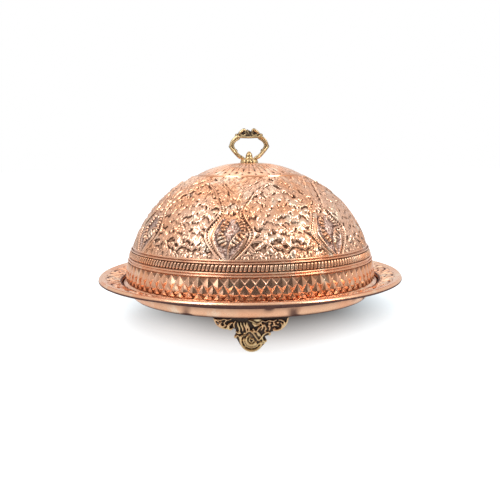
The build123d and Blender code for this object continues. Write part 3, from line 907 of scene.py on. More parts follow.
# %% Beads, backing and rolled edge
backing = [(124.6, lid_foot + 2.9), (122.2, lid_foot + 4.5), (120.2, lid_foot + 23.0),
           (119.9, lid_foot + 24.4), (118.9, lid_foot + 25.6), (118.6, lid_foot + 27.4),
           (118.3, lid_foot + 28.3), (116.6, lid_foot + 34.8), (114.7, lid_foot + 36.4),
           (114.4, lid_foot + 37.4)]
backing_shades = [0.05, 0.15, 0.75, 0.35, 0.25, 0.35, 0.75, 0.75, 0.35, 0.3]
groove = [(54.3, lid_top - 12.6), (53.7, lid_top - 12.1), (52.9, lid_top - 12.9), (52.2, lid_top - 13.1),
          (51.6, lid_top - 12.2), (51.1, lid_top - 11.1), (50.6, lid_top - 11.3)]
beads = [((120.45, lid_foot + 24.7), 0.75), ((119.3, lid_foot + 27.0), 0.9), ((117.3, lid_foot + 35.3), 0.55),
         ((115.0, lid_foot + 37.3), 1.0)]
edges = turned("lid_edges", [round_section(roll_centre, roll_radius, 18), thickened(backing, 0.6),
                             thickened(groove, 0.5)]
               + [round_section(place, radius, 12) for place, radius in beads],
               band_copper, dents=0.07, hollows=[0, backing_shades + backing_shades[::-1], 0.3, 0, 0, 0, 0])

# %% [markdown]
# The flutes are a row of small fingers punched side by side, each leaning a little to the right with
# its ridge off the middle, so that one flank is bright and the other dark.

# %% Flutes
flute_count = 204


def flute():
    """One upright rounded finger, leaning a little, at the front of the lid."""
    across, up = np.meshgrid(np.linspace(-1, 1, 7), np.linspace(-1, 1, 9))
    taper = np.sqrt(np.clip(1 - up ** 6, 0, 1))
    skewed = np.where(across < 0.35, (across - 0.35) / 1.35, (across - 0.35) / 0.65)
    swell = rounded(skewed) * taper * (1 - 0.2 * up)
    share = (up + 1) / 2
    radius = flute_low[0] + share * (flute_high[0] - flute_low[0]) - 0.7 + 1.25 * swell
    height = flute_low[1] + share * (flute_high[1] - flute_low[1])
    angle = (1.66 * across * (0.30 + 0.70 * taper) + 0.75 * up) / flute_low[0]
    piece = add_mesh("flute", about_axis(radius, angle, height), sheet_faces(8, 6))
    # Painted shade: dark in the gaps between flutes, and a light shade over each whole flute.
    mark(piece, "hollow", 0.18 + 0.75 * np.clip(1 - swell, 0, 1) ** 1.6)
    return piece


flutes = ring_of("lid_flutes", flute(), flute_count, band_copper, dent=0.6, dent_size=11)

# %% [markdown]
# The broad band below is cut like glass: kites with a raised point, sunk triangles between them
# along the top and half kites along the foot. One pitch of it is a dozen and a half flat facets. A
# narrow bevel on the ring rounds their edges, which is what catches the light.

# %% Diamonds
diamond_count = 85


def diamonds():
    """One pitch of the diamond band: kites that swell downwards, and sunk triangles along the top."""
    half = pi / diamond_count
    tall = diamond_high[1] - diamond_low[1]
    wide, foot, peak, lip, sunk = 5.6, 13.4, 1.5, 0.35, -0.45

    def spot(across, down, out=0.0):
        share = 1 - down / tall
        radius = diamond_low[0] + share * (diamond_high[0] - diamond_low[0]) + out
        return radius * sin(across * half), -radius * cos(across * half), diamond_high[1] - down

    points = {"top": spot(0, 0, lip), "apex": spot(0.05, 8.8, peak), "mid": spot(0, foot, 0.05),
              "small": spot(0, tall - 0.9, 0.9), "base": spot(0, tall, 0.2)}
    facets = []
    for side, name in ((-1, "l"), (1, "r")):
        points.update({
            "corner_" + name: spot(side, 0), "wide_" + name: spot(side, wide, lip),
            "peak_" + name: spot(side * 0.97, foot + 0.5, peak), "foot_" + name: spot(side, tall, 0.1),
            "deep_" + name: spot(side, 0.5, sunk), "rim_" + name: spot(side * 0.32, 0.5, sunk),
            "low_" + name: spot(side, 4.1, sunk)})
        facets += [facet.replace("_", "_" + name) for facet in (
            "top wide_ apex", "wide_ mid apex", "wide_ mid peak_", "mid foot_ peak_", "mid foot_ small",
            "foot_ base small", "corner_ top rim_ deep_", "top wide_ low_ rim_", "deep_ rim_ low_")]
    names = list(points)
    place = np.array(list(points.values()))
    faces = []
    for facet in facets:
        face = [names.index(n) for n in facet.split()]
        normal = np.cross(place[face[1]] - place[face[0]], place[face[2]] - place[face[0]])
        faces.append(face if normal[1] < 0 else face[::-1])
    piece = add_mesh("diamond", place, faces, smooth=False)
    # Painted shade: the sunk triangles along the top are darkest, and the kite's lower point and the corners
    # at the foot are a little dark.
    shades = {"deep": 0.6, "rim": 0.6, "low": 0.6, "mid": 0.35, "foot": 0.35}
    mark(piece, "hollow", [shades.get(name.split("_")[0], 0.0) for name in names])
    return piece


diamond_ring = ring_of("lid_diamonds", diamonds(), diamond_count, band_copper, dent=0.7, dent_size=12)
settled(diamond_ring, "BEVEL", width=0.22 * MM, segments=2, limit_method="ANGLE", angle_limit=radians(12))
diamond_ring.data.shade_smooth()
diamond_ring.data.set_sharp_from_angle(angle=radians(28))
bands = joined("lid_bands", edges, flutes, diamond_ring)
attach(bands, "lid")
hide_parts("lid_dome")
print("bands:", len(bands.data.polygons), "faces")

# %% [markdown]
# ## Cap and lining
#
# The cap above the groove is chased with a ring of feathered petals: a pillow with barbs, a dark
# rib down its middle and punched dots at both ends. Its sheet is a shallow arc, so the same kind of
# field serves as for the dome.

# %% Cap
cap_foot, cap_crown, cap_bulge = (51.0, lid_top - 11.2), (9.5, lid_top), 1.85
cap_chord = hypot(cap_foot[0] - cap_crown[0], cap_crown[1] - cap_foot[1])
cap_curve = (cap_chord ** 2 / 4 + cap_bulge ** 2) / (2 * cap_bulge)
cap_petals = 24


def cap_spot(up):
    """Radius and height of the cap's surface at so many millimetres up its chord, with its slope."""
    share = up / cap_chord
    rise = np.sqrt(cap_curve ** 2 - (up - cap_chord / 2) ** 2) - (cap_curve - cap_bulge)
    along = ((cap_crown[0] - cap_foot[0]) / cap_chord, (cap_crown[1] - cap_foot[1]) / cap_chord)
    radius = cap_foot[0] + along[0] * up + along[1] * rise
    height = cap_foot[1] + along[1] * up - along[0] * rise
    return radius, height, along


def cap_sheet():
    """One petal of the cap, from the groove up to the flat under the rosette."""
    half = pi / cap_petals
    field = Field(np.linspace(-half, half, 25), np.linspace(0, cap_chord, 65), lambda up: cap_spot(up)[0])
    side = field.angle / half
    length = np.sin(pi * np.clip((field.up - 1.0) / (cap_chord - 5), 0, 1))
    pillow = 0.55 * np.sqrt(np.clip(1 - (side / 0.96) ** 2, 0, 1)) * np.clip(length, 0, 1) ** 0.4
    across = field.angle * field.radius
    barbs = np.clip(np.cos(2 * pi * (field.up / 3.1 - 0.16 * np.abs(across))), -0.4, 1)
    field.height = pillow * (0.85 + 0.35 * barbs * np.clip(1.1 - np.abs(side), 0, 1) * (field.up < 33))
    field.height -= 0.40 * np.exp(-(across / 0.5) ** 2) * (field.up > 4) * (field.up < 30)
    for along, up, wide, tall, deep in ((0, 6.5, 1.9, 1.2, 0.8), (1, 13, 0.7, 2.6, 0.45),
                                        (0, 34, 0.6, 1.5, 0.8), (1, 30, 0.5, 2.4, 0.6),
                                        (1, 3.2, 0.9, 0.9, 0.6)):
        x = (np.abs(field.angle) - along * half) * field.radius
        field.height -= deep * np.exp(-(x / wide) ** 2 - ((field.up - up) / tall) ** 2)
    hollow = np.clip((field.smoothed(1.9) - field.height) / 0.25, 0, 1)
    # Painted shade: the cap's lowest 1.6 mm, beside the groove, is darkened.
    hollow = np.maximum(hollow, 0.35 * (field.up < 1.6))
    radius, height, along = cap_spot(field.up)
    radius = radius + along[1] * field.height
    height = height - along[0] * field.height
    piece = add_mesh("cap_petal", about_axis(radius, field.angle, height), sheet_faces(64, 24), lid_copper)
    mark(piece, "hollow", hollow)
    return piece


cap = ring_of("lid_cap_relief", cap_sheet(), cap_petals, lid_copper, dent=0.5, dent_size=16)
screw_hole = 2.1
flat = [(screw_hole, lid_top - 0.5), (9.8, lid_top - 0.5), (9.8, lid_top - 0.02),
        (screw_hole, lid_top - 0.02)]
cap_flat = turned("lid_cap_flat", [flat], lid_copper, steps=64)
cap = joined("lid_cap", cap, cap_flat)
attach(cap, "lid")
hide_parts("lid_dome")

# %% [markdown]
# From inside, the lid shows the back of its sheet, wiped with tin. The lining follows the dome at
# its mean depth as a thin turned sheet, because nobody sees the back of each leaf.

# %% Lining
lining_line = [(screw_hole, lid_top - 0.9), (9.0, lid_top - 0.9)]
for up in np.linspace(cap_chord, 0, 12):
    radius, height, _ = cap_spot(up)
    lining_line.append((radius - 0.4, height - 1.5))
inner_radius = dome_radius - 1.4
for lean in np.linspace(crown_angle, foot_angle, 30):
    lining_line.append((dome_centre[0] + inner_radius * cos(lean), dome_centre[1] + inner_radius * sin(lean)))
lining_line += [(115.6, lid_foot + 34.2), (117.2, lid_foot + 28.0), (118.6, lid_foot + 23.2),
                (120.6, lid_foot + 4.6), (122.4, lid_foot + 2.2)]
lining = turned("lid_lining", [thickened(lining_line[::-1], 0.25)], tin, steps=256)
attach(lining, "lid")
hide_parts("lid_dome")

# %% [markdown]
# ## The dish
#
# The dish is one sheet: floor, upright wall, a ledge for the lid, and a sloping rim rolled over a
# wire. It is turned from one closed section, inside line and outside line. Painted shade lies on the
# ledge in the gap under the lid's roll, under the ledge outside and along the foot of the wall. The
# roll is a leaning oval: its top takes the light of the tent as one bright line, and its side
# reflects the dark of the room and carries painted shade as well.

# %% Dish body
inside_line = [(0.01, floor_level), (40, floor_level), (80, floor_level), (110, floor_level),
               (114.6, floor_level + 0.05), (116.2, floor_level + 0.7), (116.8, floor_level + 2.2),
               (117.5, ledge_level - 1.0), (118.3, ledge_level), (122, ledge_level), (127.0, ledge_level),
               (127.6, ledge_level + 0.5), (127.7, ledge_level + 4.2), (128.6, ledge_level + 4.3),
               (138, rim_level - 1.2), (147.8, rim_level + 0.9)]
outside_line = [(148.6, rim_level - 0.9), (138, rim_level - 1.6), (129.2, ledge_level + 3.8),
                (128.5, ledge_level + 3.3), (128.4, ledge_level + 0.2), (127.6, ledge_level - 0.75),
                (122, ledge_level - sheet), (119.4, ledge_level - 0.85), (118.4, ledge_level - 1.7),
                (118.15, ledge_level - 2.6), (117.6, floor_level + 2.0), (117.2, floor_level + 0.6),
                (115.8, floor_level - 0.6), (114.5, floor_level - sheet), (80, floor_level - sheet),
                (40, floor_level - sheet), (0.01, floor_level - sheet)]
# Painted shadow: the ledge and the step inside, in the gap under the lid's roll, are painted dark.
dish_shades = [1.0 if 118 < r < 127.9 and z < ledge_level + 3.6 else 0.0 for r, z in inside_line]
# Painted shade outside: darkest on the step and under the ledge, half at the wall's top, light down the wall,
# then half and darkest round its foot.
wall_shades = ((118.3, 129, 0.9), (118, 118.3, 0.55), (117.5, 118, 0.05), (117, 117.5, 0.5), (114, 117, 1.0))
dish_shades += [next((dark for low, high, dark in wall_shades if low < r < high), 0.0)
                for r, _ in outside_line]
dish_body = turned("dish_body", [inside_line + outside_line], dish_copper, dents=0.10,
                   hollows=[dish_shades], stains=0.7)
roll_middle, roll_wide, roll_tall, roll_lean = (147.95, rim_level - 0.35), 1.88, 1.98, 0.5
roll_turns = np.radians(np.arange(0, 360, 12))
roll_section = [(roll_middle[0] + roll_wide * np.cos(a), roll_middle[1] + roll_tall * np.sin(a - roll_lean))
                for a in roll_turns]
# Painted shade on the roll: its top is left clean, its outer face is darkest, and its inner side and
# underside are half as dark.
roll_shades = [0.0 if 0.6 < a < 2.8 else 0.9 if a < 0.4 or a > 5.6 else 0.5 for a in roll_turns]
dish_roll = turned("dish_roll", [roll_section], dish_copper, dents=0.05, hollows=[roll_shades])
print("dish: floor at", round(floor_level, 1), "ledge at", round(ledge_level, 1), "rim at",
      round(rim_level, 1))

# %% [markdown]
# The rim is chased with curled leaves between scalloped ends, a row of ticks inside them and a
# smooth strip outside. Broad round cuts make the curls, each wide where the tool was set down and
# narrow where it was lifted.

# %% Rim leaves
rim_leaves = 22
rim_inner, rim_outer = (127.7, rim_level - 2.8), (148.0, rim_level + 1.61)


def rim_sheet():
    """One repeat of the rim's curled leaves, from the step out to the rolled edge."""
    half = pi / rim_leaves
    width = hypot(rim_outer[0] - rim_inner[0], rim_outer[1] - rim_inner[1])
    out = ((rim_outer[0] - rim_inner[0]) / width, (rim_outer[1] - rim_inner[1]) / width)
    field = Field(np.linspace(-half, half, 65), np.linspace(0, width, 33),
                  lambda up: rim_inner[0] + out[0] * up)
    share = field.angle / half
    end = 14.8 + 1.8 * np.cos(pi * share) + 0.7 * np.cos(3 * pi * share)
    field.height = 0.8 * np.clip((end - field.up) / 0.9, 0, 1) * np.clip((field.up - 2.6) / 1.0, 0, 1)

    def cut(points, deep, wide):
        """Round groove along a line, wide at its start and narrow at its end."""
        far, run = field.along_line(flowing(points))
        field.height -= deep * np.exp(-(far / (wide * (1.15 - 0.6 * (run / run.max())))) ** 2)

    cut([(-11, 3.0), (-9.5, 8), (-4, 12.6), (3, 13.6), (7.6, 11), (6.4, 7.6), (2.6, 8.2)], 1.4, 2.3)
    cut([(11.5, 2.8), (14.0, 6.4), (15.4, 11), (18.0, 13.4)], 1.4, 2.3)
    cut([(-18.5, 3.2), (-15.8, 7.5), (-14.6, 12.2)], 1.3, 2.1)
    cut([(-4.6, 3.0), (-3.2, 5.4), (0.6, 6.0)], 1.3, 2.0)
    dots = ((0, 16.6, 0.7, 2.2, 0.7), (19.2, 12.0, 0.7, 2.0, 0.6), (-9.5, 14.9, 0.6, 1.8, 0.6),
            (9.6, 15.0, 0.6, 1.8, 0.6), (5.2, 4.4, 0.8, 1.2, 0.5))
    for along, up, long, wide, deep in dots:
        x, y = field.local(along, up)
        field.height -= deep * np.exp(-(x / wide) ** 2 - (y / long) ** 2)
    ticks = 0.5 + 0.5 * np.cos(16 * pi * share)
    field.height += 0.5 * ticks * np.exp(-((field.up - 2.1) / 0.6) ** 2)
    field.height = np.maximum(field.height, -0.5)
    # Painted shadow: the rim's first 1.5 mm by the step turns dark, for the shaded gap beside the lid's roll.
    hollow = np.maximum((field.smoothed(3.2) - field.height) / 0.55, (1.5 - field.up) / 0.3).clip(0, 1)
    radius = rim_inner[0] + out[0] * field.up - out[1] * field.height
    height = rim_inner[1] + out[1] * field.up + out[0] * field.height
    piece = add_mesh("rim_leaf", about_axis(radius, field.angle, height), sheet_faces(32, 64)[:, ::-1],
                     dish_copper)
    mark(piece, "hollow", hollow)
    return piece


rim = ring_of("dish_rim", rim_sheet(), rim_leaves, dish_copper, dent=0.35, dent_size=22)
dish = joined("dish_sheet", dish_body, dish_roll, rim)
dish_lining = turned("dish_lining", [thickened(inside_line[:8], 0.12)], tin, steps=256)
for piece in (dish, dish_lining):
    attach(piece, "platter")
    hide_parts("dish")
print("dish:", len(dish.data.polygons), "faces")

# %% [markdown]
# ## Castings
#
# Feet and handle were cast from a carved pattern. Sculpting them by hand would leave nothing to
# read, so here the pattern is built up as a founder would in wax: strips and knobs laid over a
# plate, then melted into one skin by a voxel remesh. Afterwards each point is told how deep it lies
# among its neighbours, and the brass darkens there.


# %% Wax strips
def strip(points, thick, flat=1.0):
    """Closed round strip through (x, y, z) points; thick is one radius or one per point."""
    sides = 9
    p = np.array(points, dtype=float)
    radii = np.full(len(p), thick) if np.isscalar(thick) else np.array(thick, dtype=float)
    q = np.vstack([2 * p[0] - p[1], p, 2 * p[-1] - p[-2]])
    t = np.linspace(0, len(p) - 1, 6 * (len(p) - 1) + 1)
    i = np.minimum(t.astype(int), len(p) - 2)
    f = (t - i)[:, None]
    a, b, c, d = q[i], q[i + 1], q[i + 2], q[i + 3]
    line = 0.5 * (2 * b + (c - a) * f + (2 * a - 5 * b + 4 * c - d) * f ** 2
                  + (3 * b - a - 3 * c + d) * f ** 3)
    radius = np.interp(t, np.arange(len(p)), radii)
    run = np.gradient(line, axis=0)
    run /= np.linalg.norm(run, axis=1)[:, None]
    side = np.cross(run, [0, 1, 0])
    side /= np.maximum(np.linalg.norm(side, axis=1)[:, None], 1e-6)
    front = np.cross(side, run) * flat
    line = np.vstack([line[0] - run[0] * radius[0] * 0.8, line, line[-1] + run[-1] * radius[-1] * 0.8])
    side, front = (np.vstack([v[0], v, v[-1]]) for v in (side, front))
    radius = np.hstack([radius[0] * 0.3, radius, radius[-1] * 0.3])
    turns = np.linspace(0, 2 * pi, sides, endpoint=False)
    rings = line[:, None] + radius[:, None, None] * (side[:, None] * np.cos(turns)[None, :, None]
                                                    + front[:, None] * np.sin(turns)[None, :, None])
    here = np.arange(len(line) - 1)[:, None] * sides + np.arange(sides)[None, :]
    after = np.roll(here, -1, axis=1)
    faces = np.stack([here, after, after + sides, here + sides], axis=-1).reshape(-1, 4).tolist()
    faces += [list(range(sides))[::-1], list(range((len(line) - 1) * sides, len(line) * sides))]
    return rings.reshape(-1, 3), faces


def slab(outline, front, back):
    """Flat plate with an (x, z) outline between two depths."""
    n = len(outline)
    points = [(x, front, z) for x, z in outline] + [(x, back, z) for x, z in outline]
    faces = [list(range(n)), list(range(2 * n - 1, n - 1, -1))]
    faces += [[i, i + n, (i + 1) % n + n, (i + 1) % n] for i in range(n)]
    return np.array(points), faces


def knob(place, radius):
    """Ball at a place."""
    x, y, z = place
    rings = [(cos(a), sin(a)) for a in np.linspace(-pi / 2, pi / 2, 7)[1:-1]]
    turns = np.linspace(0, 2 * pi, 10, endpoint=False)
    points = [(x + radius * c * cos(t), y + radius * c * sin(t), z + radius * s)
              for c, s in rings for t in turns]
    faces = [[10 * r + i, 10 * r + (i + 1) % 10, 10 * r + 10 + (i + 1) % 10, 10 * r + 10 + i]
             for r in range(4) for i in range(10)]
    faces += [list(range(10))[::-1], list(range(40, 50))]
    return np.array(points), faces


def cast(name, wax, voxel, finish, gain, deep_from, soften=3):
    """Melt strips, slabs and knobs into one closed skin, and mark its hollows."""
    points, faces, first = [], [], 0
    for part_points, part_faces in wax:
        points.append(part_points)
        faces += [[first + i for i in face] for face in part_faces]
        first += len(part_points)
    piece = add_mesh(name, np.vstack(points), faces, finish)
    settled(piece, "REMESH", mode="VOXEL", voxel_size=voxel * MM)
    settled(piece, "SMOOTH", factor=0.5, iterations=soften)
    piece.data.shade_smooth()
    mark_hollows(piece, gain, deep_from)
    print(f"{name}: {len(piece.data.polygons)} faces")
    return piece


def mark_hollows(piece, gain, deep_from, rounds=20):
    """Hollow number: how far a point lies below its neighbours, or how far behind the face at deep_from."""
    mesh = piece.data
    count = len(mesh.vertices)
    place = np.empty(count * 3, dtype=np.float64)
    normal = np.empty(count * 3, dtype=np.float64)
    mesh.vertices.foreach_get("co", place)
    mesh.vertices.foreach_get("normal", normal)
    place, normal = place.reshape(-1, 3), normal.reshape(-1, 3)
    ends = np.empty(len(mesh.edges) * 2, dtype=np.int64)
    mesh.edges.foreach_get("vertices", ends)
    ends = ends.reshape(-1, 2)
    both = np.vstack([ends, ends[:, ::-1]])
    number = np.maximum(np.bincount(both[:, 0], minlength=count), 1)

    def spread(values):
        """Mean of each point's neighbours."""
        return np.stack([np.bincount(both[:, 0], weights=values[both[:, 1], i], minlength=count)
                         for i in range(values.shape[1])], axis=1) / number[:, None]

    around = place
    for _ in range(rounds):
        around = spread(around)
    depth = np.sum((around - place) * normal, axis=1) / MM
    behind = np.clip((deep_from - np.abs(place[:, 1]) / MM) / 0.9, 0, 0.85)
    mark(piece, "hollow", np.clip(np.maximum(depth * gain, behind), 0, 1))


# %% [markdown]
# ## Feet
#
# Each foot stands on one big volute. Ribs fan out above it, a leaf hangs on its right, and wings of
# small scrolls run out to both sides under the dish. A plate behind gives the outline, and every
# strip on it is a curve with a thickness. One casting is made and set down three times.

# %% Feet
def foot_wax():
    """Strips, slabs and knobs of the front foot; x runs along it, z up, and its face is at -y."""
    back = [(-33, 31.5), (-30, 26.5), (-24.5, 21.6), (-17, 20.2), (-13.2, 20.4), (-12.2, 17), (-14, 13.6),
            (-11.5, 10.5), (-9, 5.5), (-4, 2.4), (2, 1.2), (8, 2.0), (11.5, 6.0), (13.8, 9.8), (12.2, 13.2),
            (15.6, 14.2), (17.6, 17), (22, 18.2), (28, 20.6), (32, 26.5), (33, 31.5)]
    face = -107.0
    wax = [slab(back, -105.6, -102.6)]
    ring = [(0.9 + 9.2 * cos(a), 10.4 + 9.2 * sin(a)) for a in np.linspace(0, 2 * pi, 32, endpoint=False)]
    wax.append(slab(ring, face + 0.15, -100.6))
    y = face - 0.3

    def lay(points, thick, out=0.0):
        """Strip on the face, pushed out a little."""
        wax.append(strip([(x, y - out, z) for x, z in points], 0.84 * np.array(thick), flat=1.3))

    def turn(radius, start, end, count):
        """Points round the volute's middle, from one angle in degrees to another."""
        angles = np.radians(np.linspace(start, end, count))
        return [(0.9 + radius * cos(a), 10.6 + radius * sin(a)) for a in angles]

    lay([(-5.0, 14.7), (-7.2, 14.6)] + turn(9.5, 160, 335, 12), [0.6, 0.9] + [1.2] * 12, 0.7)
    lay([(11.9, 7.6), (9.6, 8.6), (7.6, 7.6)], [0.9, 0.8, 0.9], 0.5)
    lay(turn(7.0, 168, 330, 10), 0.62, 0.3)
    lay(turn(5.3, 172, 322, 9), 0.55, 0.1)
    lay([(-1.3, 15.0), (-3.4, 12.6), (-3.3, 9.2), (-0.8, 6.6), (2.4, 6.7), (4.4, 8.6)],
        [0.5, 0.8, 0.85, 0.85, 0.8, 0.7], 0.3)
    lay([(-0.6, 12.4), (-1.2, 10.0), (0.6, 8.6), (2.4, 9.6), (2.0, 11.4), (0.8, 11.2)], 0.6, 0.3)
    lay([(-4.0, 16.6), (-2.2, 18.2), (0.2, 18.4), (2.6, 16.2), (4.6, 13.2), (6.8, 10.4), (9.2, 12.4),
         (11.6, 15.6), (14.4, 17.4), (16.9, 16.6), (16.6, 14.9), (15.2, 15.2)],
        [0.6, 0.8, 0.9, 0.85, 0.8, 0.8, 0.8, 0.9, 0.95, 0.9, 0.7, 0.6], 0.3)
    lay([(10.0, 12.4), (10.9, 10.0), (13.2, 9.2), (13.6, 10.9)], [0.6, 0.9, 0.9, 0.7], 0.2)
    for foot_x, top_x in ((-9.4, -10.8), (-6.6, -8.2), (-3.6, -5.6), (-1.2, -3.2)):
        lay([(foot_x, 18.6), (foot_x - 0.2, 21.4), ((foot_x + top_x) / 2 - 0.6, 24), (top_x, 26.6)],
            [0.7, 1.0, 1.0, 0.6], 0.2)
    wax.append(slab([(-1.5, 29), (9.5, 29), (8.6, 23.5), (3.5, 21.8)], face + 0.1, -104))
    lay([(-1.4, 28.2), (2.4, 26.6), (5.6, 24.8), (9.4, 26.6)], [0.8, 1.0, 0.8, 0.6])
    lay([(2.2, 20.6), (4.2, 18.0), (5.8, 19.0), (7.6, 21.4), (9.6, 22.6)], [0.9, 1.1, 0.7, 1.0, 0.6], 0.4)
    lay([(-12.6, 18.3), (-10.6, 16.8), (-8.2, 16.6)], [0.8, 1.0, 0.6], 0.2)
    wax.append(knob((-13.0, y, 13.6), 1.5))
    wax.append(knob((-9.8, y - 0.2, 17.6), 1.1))
    lay([(-15.6, 26.4), (-18.2, 24.6), (-19.2, 22.0), (-17.2, 20.4), (-15.4, 21.2)],
        [0.9, 1.4, 1.5, 1.4, 0.8], 0.4)
    lay([(-22.0, 23.0), (-25.2, 23.4), (-26.4, 25.6), (-24.6, 26.8)], [0.7, 1.2, 1.1, 0.7], 0.3)
    lay([(-20, 20.8), (-25, 21.8), (-29.2, 25.2), (-31.4, 30)], [0.8, 0.9, 0.9, 0.8], 0.1)
    lay([(-27.6, 27.2), (-29.4, 29.2)], 0.9, 0.2)
    for x, z, size in ((11.0, 23.6, 1.3), (13.4, 20.6, 1.2), (15.9, 22.9, 1.2), (17.0, 25.4, 1.1),
                       (20.4, 25.4, 1.2), (23.6, 26.0, 1.2)):
        wax.append(knob((x, y - 0.2, z), size))
    lay([(12.2, 18.2), (13.2, 21.0), (12.0, 24.6)], [0.7, 0.9, 0.6], 0.2)
    lay([(16.0, 19.0), (16.8, 21.8), (15.6, 25.6)], [0.7, 0.9, 0.6], 0.1)
    lay([(26.0, 26.0), (27.6, 23.6), (26.6, 20.8), (23.2, 19.4), (20.0, 19.6), (20.8, 21.2)],
        [0.7, 1.1, 1.2, 1.1, 1.2, 0.9], 0.4)
    lay([(28.0, 21.2), (31.0, 25.2), (32.6, 30.4)], [0.7, 0.9, 0.8], 0.2)
    lay([(18.6, 22.8), (21.6, 23.6), (24.4, 22.6)], [0.6, 0.9, 0.6], 0.1)
    lay([(9.8, 27.6), (13.0, 26.6), (16.0, 27.8), (19.2, 27.2), (22.6, 28.2)], [0.6, 0.8, 0.7, 0.8, 0.6])
    lay([(24.2, 28.4), (27.0, 28.0), (29.2, 26.0), (28.6, 23.6)], [0.6, 0.9, 0.9, 0.6], 0.2)
    lay([(9.0, 19.2), (10.6, 21.6), (10.0, 24.6), (8.0, 25.8)], [0.6, 0.8, 0.8, 0.5], 0.1)
    lay([(-13.8, 21.6), (-14.4, 24.4), (-12.8, 27.6)], [0.6, 0.9, 0.6], 0.1)
    lay([(-20.8, 27.8), (-22.6, 25.6), (-21.0, 23.8)], [0.6, 0.8, 0.6], 0.1)
    lay([(-28.6, 29.6), (-25.8, 28.4), (-22.8, 29.2), (-19.4, 28.4), (-16.2, 29.4)],
        [0.5, 0.8, 0.7, 0.8, 0.5])
    lay([(-12.2, 15.2), (-10.0, 14.0), (-9.6, 11.6)], [0.6, 0.8, 0.5], 0.1)
    wax.append(slab([(-18, 31.5), (18, 31.5), (18, 28.7), (-18, 28.7)], -104, -89))
    return wax


foot = cast("foot_casting", foot_wax(), 0.46, foot_brass, gain=2.2, deep_from=107.0, soften=2)
feet = ring_of("feet_castings", foot, 3, foot_brass)
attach(feet, "platter")
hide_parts("front_foot", "rear_right_foot", "rear_left_foot")

# %% [markdown]
# ## Handle
#
# The handle is a ring of two ridged arms with pointed shoulders and a knot of scrolls on top. Both
# arms are laid by the same strips, once for each hand, and only the middle of the knot is uneven.


# %% Handle
def handle_wax():
    """Strips and knobs of the ring, in its own upright plane."""
    wax = []
    for hand in (-1, 1):
        def lay(points, thick, flat=1.0):
            """Strip on this hand's side of the ring."""
            wax.append(strip([(hand * x, 0, z) for x, z in points], thick, flat))

        lay([(5.4, 165.2), (9.4, 166.2), (13.0, 169.6), (16.0, 173.2), (18.6, 176.5)],
            [1.5, 1.3, 1.3, 1.4, 1.2], flat=1.35)
        lay([(18.7, 176.6), (17.2, 180.4), (15.2, 183.4), (12.6, 185.6), (10.0, 186.8)],
            [1.2, 1.5, 1.45, 1.4, 1.3], flat=1.3)
        lay([(6.4, 166.4), (10.2, 168.8), (13.2, 172.6), (15.3, 176.6), (15.3, 179.4), (13.2, 182.4),
             (9.4, 184.6)],
            [1.0, 1.0, 1.05, 1.0, 1.0, 1.0, 0.9], flat=1.5)
        lay([(17.4, 174.8), (19.3, 176.7), (17.8, 178.9)], [0.7, 0.75, 0.7])
        lay([(13.2, 170.9), (15.4, 173.8), (17.0, 176.6), (15.9, 179.6), (13.8, 182.6), (11.2, 184.9)], 1.15,
            flat=0.8)
        lay([(12.6, 171.0), (12.4, 172.8), (13.0, 174.0)], [0.8, 1.1, 0.7])
        wax.append(knob((hand * 12.2, 0, 188.0), 1.5))
        lay([(12.8, 185.9), (12.2, 188.0), (10.2, 188.8)], [1.2, 1.1, 0.9])
        lay([(10.6, 188.4), (8.6, 190.6), (6.4, 192.2), (4.8, 193.3), (3.4, 192.2), (3.0, 190.6)],
            [0.9, 1.3, 1.4, 1.3, 1.1, 0.8], flat=1.3)
        lay([(8.8, 189.4), (7.2, 187.8), (4.8, 187.4), (3.0, 188.8), (3.4, 190.4), (4.8, 190.4)],
            [0.8, 1.1, 1.1, 1.0, 0.8, 0.8], flat=1.3)
        lay([(5.5, 164.8), (7.4, 164.6)], [1.4, 1.0], flat=1.4)
    wax.append(strip([(-10.6, 0, 186.2), (-5, 0, 185.9), (0, 0, 185.8), (5, 0, 185.9), (10.6, 0, 186.2)],
                     [1.2, 1.15, 1.25, 1.15, 1.2], 1.3))
    wax.append(strip([(-2.0, 0, 187.6), (-0.6, 0, 189.6), (-1.4, 0, 192.0), (-1.2, 0, 193.0)],
                     [0.7, 0.9, 1.0, 0.6], 1.3))
    wax.append(strip([(1.8, 0, 187.0), (0.6, 0, 188.6), (1.2, 0, 190.8)], [0.7, 0.8, 0.6], 1.3))
    wax.append(slab([(-10.4, 186), (10.4, 186), (10.6, 188.2), (7.6, 190.6), (4.6, 192.6), (2.6, 190.8),
                     (0.6, 192.4), (-2.4, 192.6), (-4.6, 192.0), (-7.8, 190.2), (-10.6, 188.2)], -0.6, 0.6))
    sides, bottom, top = 24, 163.6, 165.45
    boss = [(5.7 * cos(a), 5.7 * sin(a)) for a in np.linspace(0, 2 * pi, sides, endpoint=False)]
    ends = [list(range(sides))[::-1], list(range(sides, 2 * sides))]
    wall = [[i, (i + 1) % sides, (i + 1) % sides + sides, i + sides] for i in range(sides)]
    wax.append((np.array([(x, y, z) for z in (bottom, top) for x, y in boss]), ends + wall))
    return wax


handle = cast("handle_casting", handle_wax(), 0.27, ring_brass, gain=4.0, deep_from=1.5)
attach(handle, "lid")
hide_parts("handle_ring")

# %% [markdown]
# The rosette under the handle is a ring of tall scalloped petals round a plain collar, dark where
# two petals meet.

# %% Rosette
rosette_petals = 8


